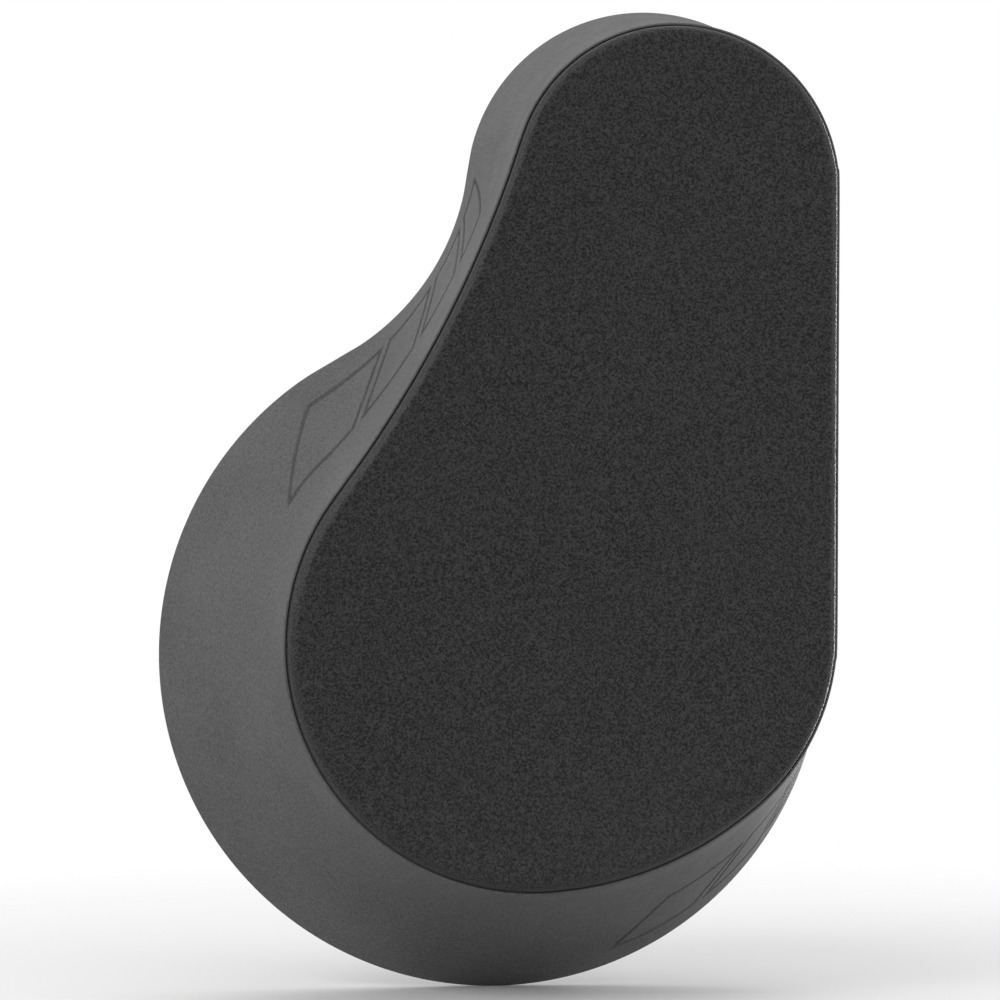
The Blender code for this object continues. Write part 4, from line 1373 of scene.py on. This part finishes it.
def make_cushion():
    """The forearm cushion: inflated spacer mesh, sewn channels and a piped edge."""
    low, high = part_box("forearm_cushion")
    piece = add_piece("cushion_pad", cushion_block(low, high), "cushion_fabric", node="forearm_cushion")
    inflate(piece, low)
    sew_channels(piece, low, high)
    piece.data.shade_smooth()
    bpy.context.view_layer.update()
    add_stitches("cushion_stitches", channel_seams(piece, low, high), "cushion_fabric")
    centre, half = plan(low, high)
    outline = rounded_rectangle(half - PIPING_RADIUS, CUSHION_CORNER - PIPING_RADIUS)
    path = at_level(outline, low.y + PIPING_RADIUS, centre)
    add_piece("cushion_piping", tube_mesh(path, PIPING_RADIUS, PIPING_SIDES, True), "webbing")


# ---- all pieces ----


def finish_frame_nodes():
    """Gives each CAD node that stays visible its procedural material."""
    slots = {part["node"]: part["material_slot"] for part in frame["record"]["subparts"]}
    for name, obj in NODES.items():
        obj.data.materials.clear()
        obj.data.materials.append(FINISHES[slots[name]])


# ---- floor, light and camera ----

FLOOR_FADE = (0.14, 0.5)  # metres from the paddle where the floor starts and ends fading
# The world brightens along a direction, between two places on it, from one strength to another.
WORLD_TOWARDS = (-0.2, 0.85, 0.45)
WORLD_SIDES = (-0.9, 0.72)
WORLD_LEVELS = (0.22, 1.0)
SOFTBOXES = (
    ("left_softbox", (-1.1, -0.85, 0.75), (0.7, 1.0), 11),
    ("top_softbox", (0.15, 0.45, 1.7), (1.4, 1.0), 4),
    ("right_softbox", (1.1, 1.1, 0.0), (0.7, 1.2), 18),
    ("front_softbox", (0.6, -0.35, 0.15), (0.25, 0.9), 2.2),
)
CAMERA_DISTANCE = 1.5
CAMERA_YAW = math.radians(5)
SENSOR = 36 * MM
FOCAL_LENGTH = 138.1 * MM
AIM = Vector((SHELL_HIGH.x - 126.8 * MM, BACK_Y, SHELL_LOW.z + 189.5 * MM))


def make_floor():
    """A pale floor under the paddle that fades into the white surroundings, so no horizon shows."""
    bm = bmesh.new()
    bmesh.ops.create_circle(bm, cap_ends=True, segments=96, radius=FLOOR_FADE[1] * 1.05)
    mesh = bpy.data.meshes.new("floor")
    bm.to_mesh(mesh)
    bm.free()
    floor = new_object("floor", mesh)
    floor.location.z = CAD_BOX[0][2]
    finish = Finish("floor", grey(0.7), 0.8, specular=0.1)
    reach = finish.add("VectorMath", {0: finish.place}, operation="LENGTH")["Value"]
    clear = finish.add("BsdfTransparent", {})["BSDF"]
    share = finish.map_range(reach, *FLOOR_FADE, 0, 1)
    fade = finish.add("MixShader", {"Fac": share, 1: finish.shader.outputs["BSDF"], 2: clear})
    finish.feed(finish.tree.nodes["Material Output"], {"Surface": fade["Shader"]})
    floor.data.materials.append(finish.material)


def make_world():
    """Soft studio surroundings: white behind and above the paddle, dimmer in front of its face."""
    world = bpy.data.worlds.new("studio")
    bpy.context.scene.world = world
    world.use_nodes = True
    nodes = Nodes(world.node_tree)
    place = nodes.add("TexCoord", {})["Generated"]
    towards = nodes.add("VectorMath", {0: place, 1: WORLD_TOWARDS}, operation="DOT_PRODUCT")["Value"]
    strength = nodes.map_range(towards, *WORLD_SIDES, *WORLD_LEVELS, interpolation_type="SMOOTHSTEP")
    nodes.feed(nodes.tree.nodes["Background"], {"Strength": strength, "Color": (1, 1, 1, 1)})


def add_facing(name, data, place, direction):
    """A light or camera at a place, turned to a direction."""
    new = new_object(name, data)
    new.location = place
    new.rotation_euler = direction.to_track_quat("-Z", "Y").to_euler()
    return new


def make_lights():
    """Softboxes: name, place, width and height in metres, and watts."""
    for name, place, size, power in SOFTBOXES:
        light = bpy.data.lights.new(name, "AREA")
        light.shape = "RECTANGLE"
        light.size, light.size_y = size
        light.energy = power
        add_facing(name, light, place, AIM - Vector(place))


def make_camera():
    """A long lens in front of the face, turned a little to the side, as the photo is taken."""
    lens = bpy.data.cameras.new("camera")
    lens.sensor_width = SENSOR / MM
    lens.lens = FOCAL_LENGTH / MM
    forward = Vector((math.sin(CAMERA_YAW), math.cos(CAMERA_YAW), 0))
    place = AIM - forward * CAMERA_DISTANCE
    bpy.context.scene.camera = add_facing("camera", lens, place, forward)


make_body_skin()
make_face_skin()
make_back_cover()
make_hand_tray()
make_grip_sleeve()
make_bracket("right")
make_bracket("left")
make_screws()
make_wire_loops()
make_straps()
make_cushion()
finish_frame_nodes()
make_floor()
make_world()
make_lights()
make_camera()
bpy.context.scene.view_settings.view_transform = "Standard"
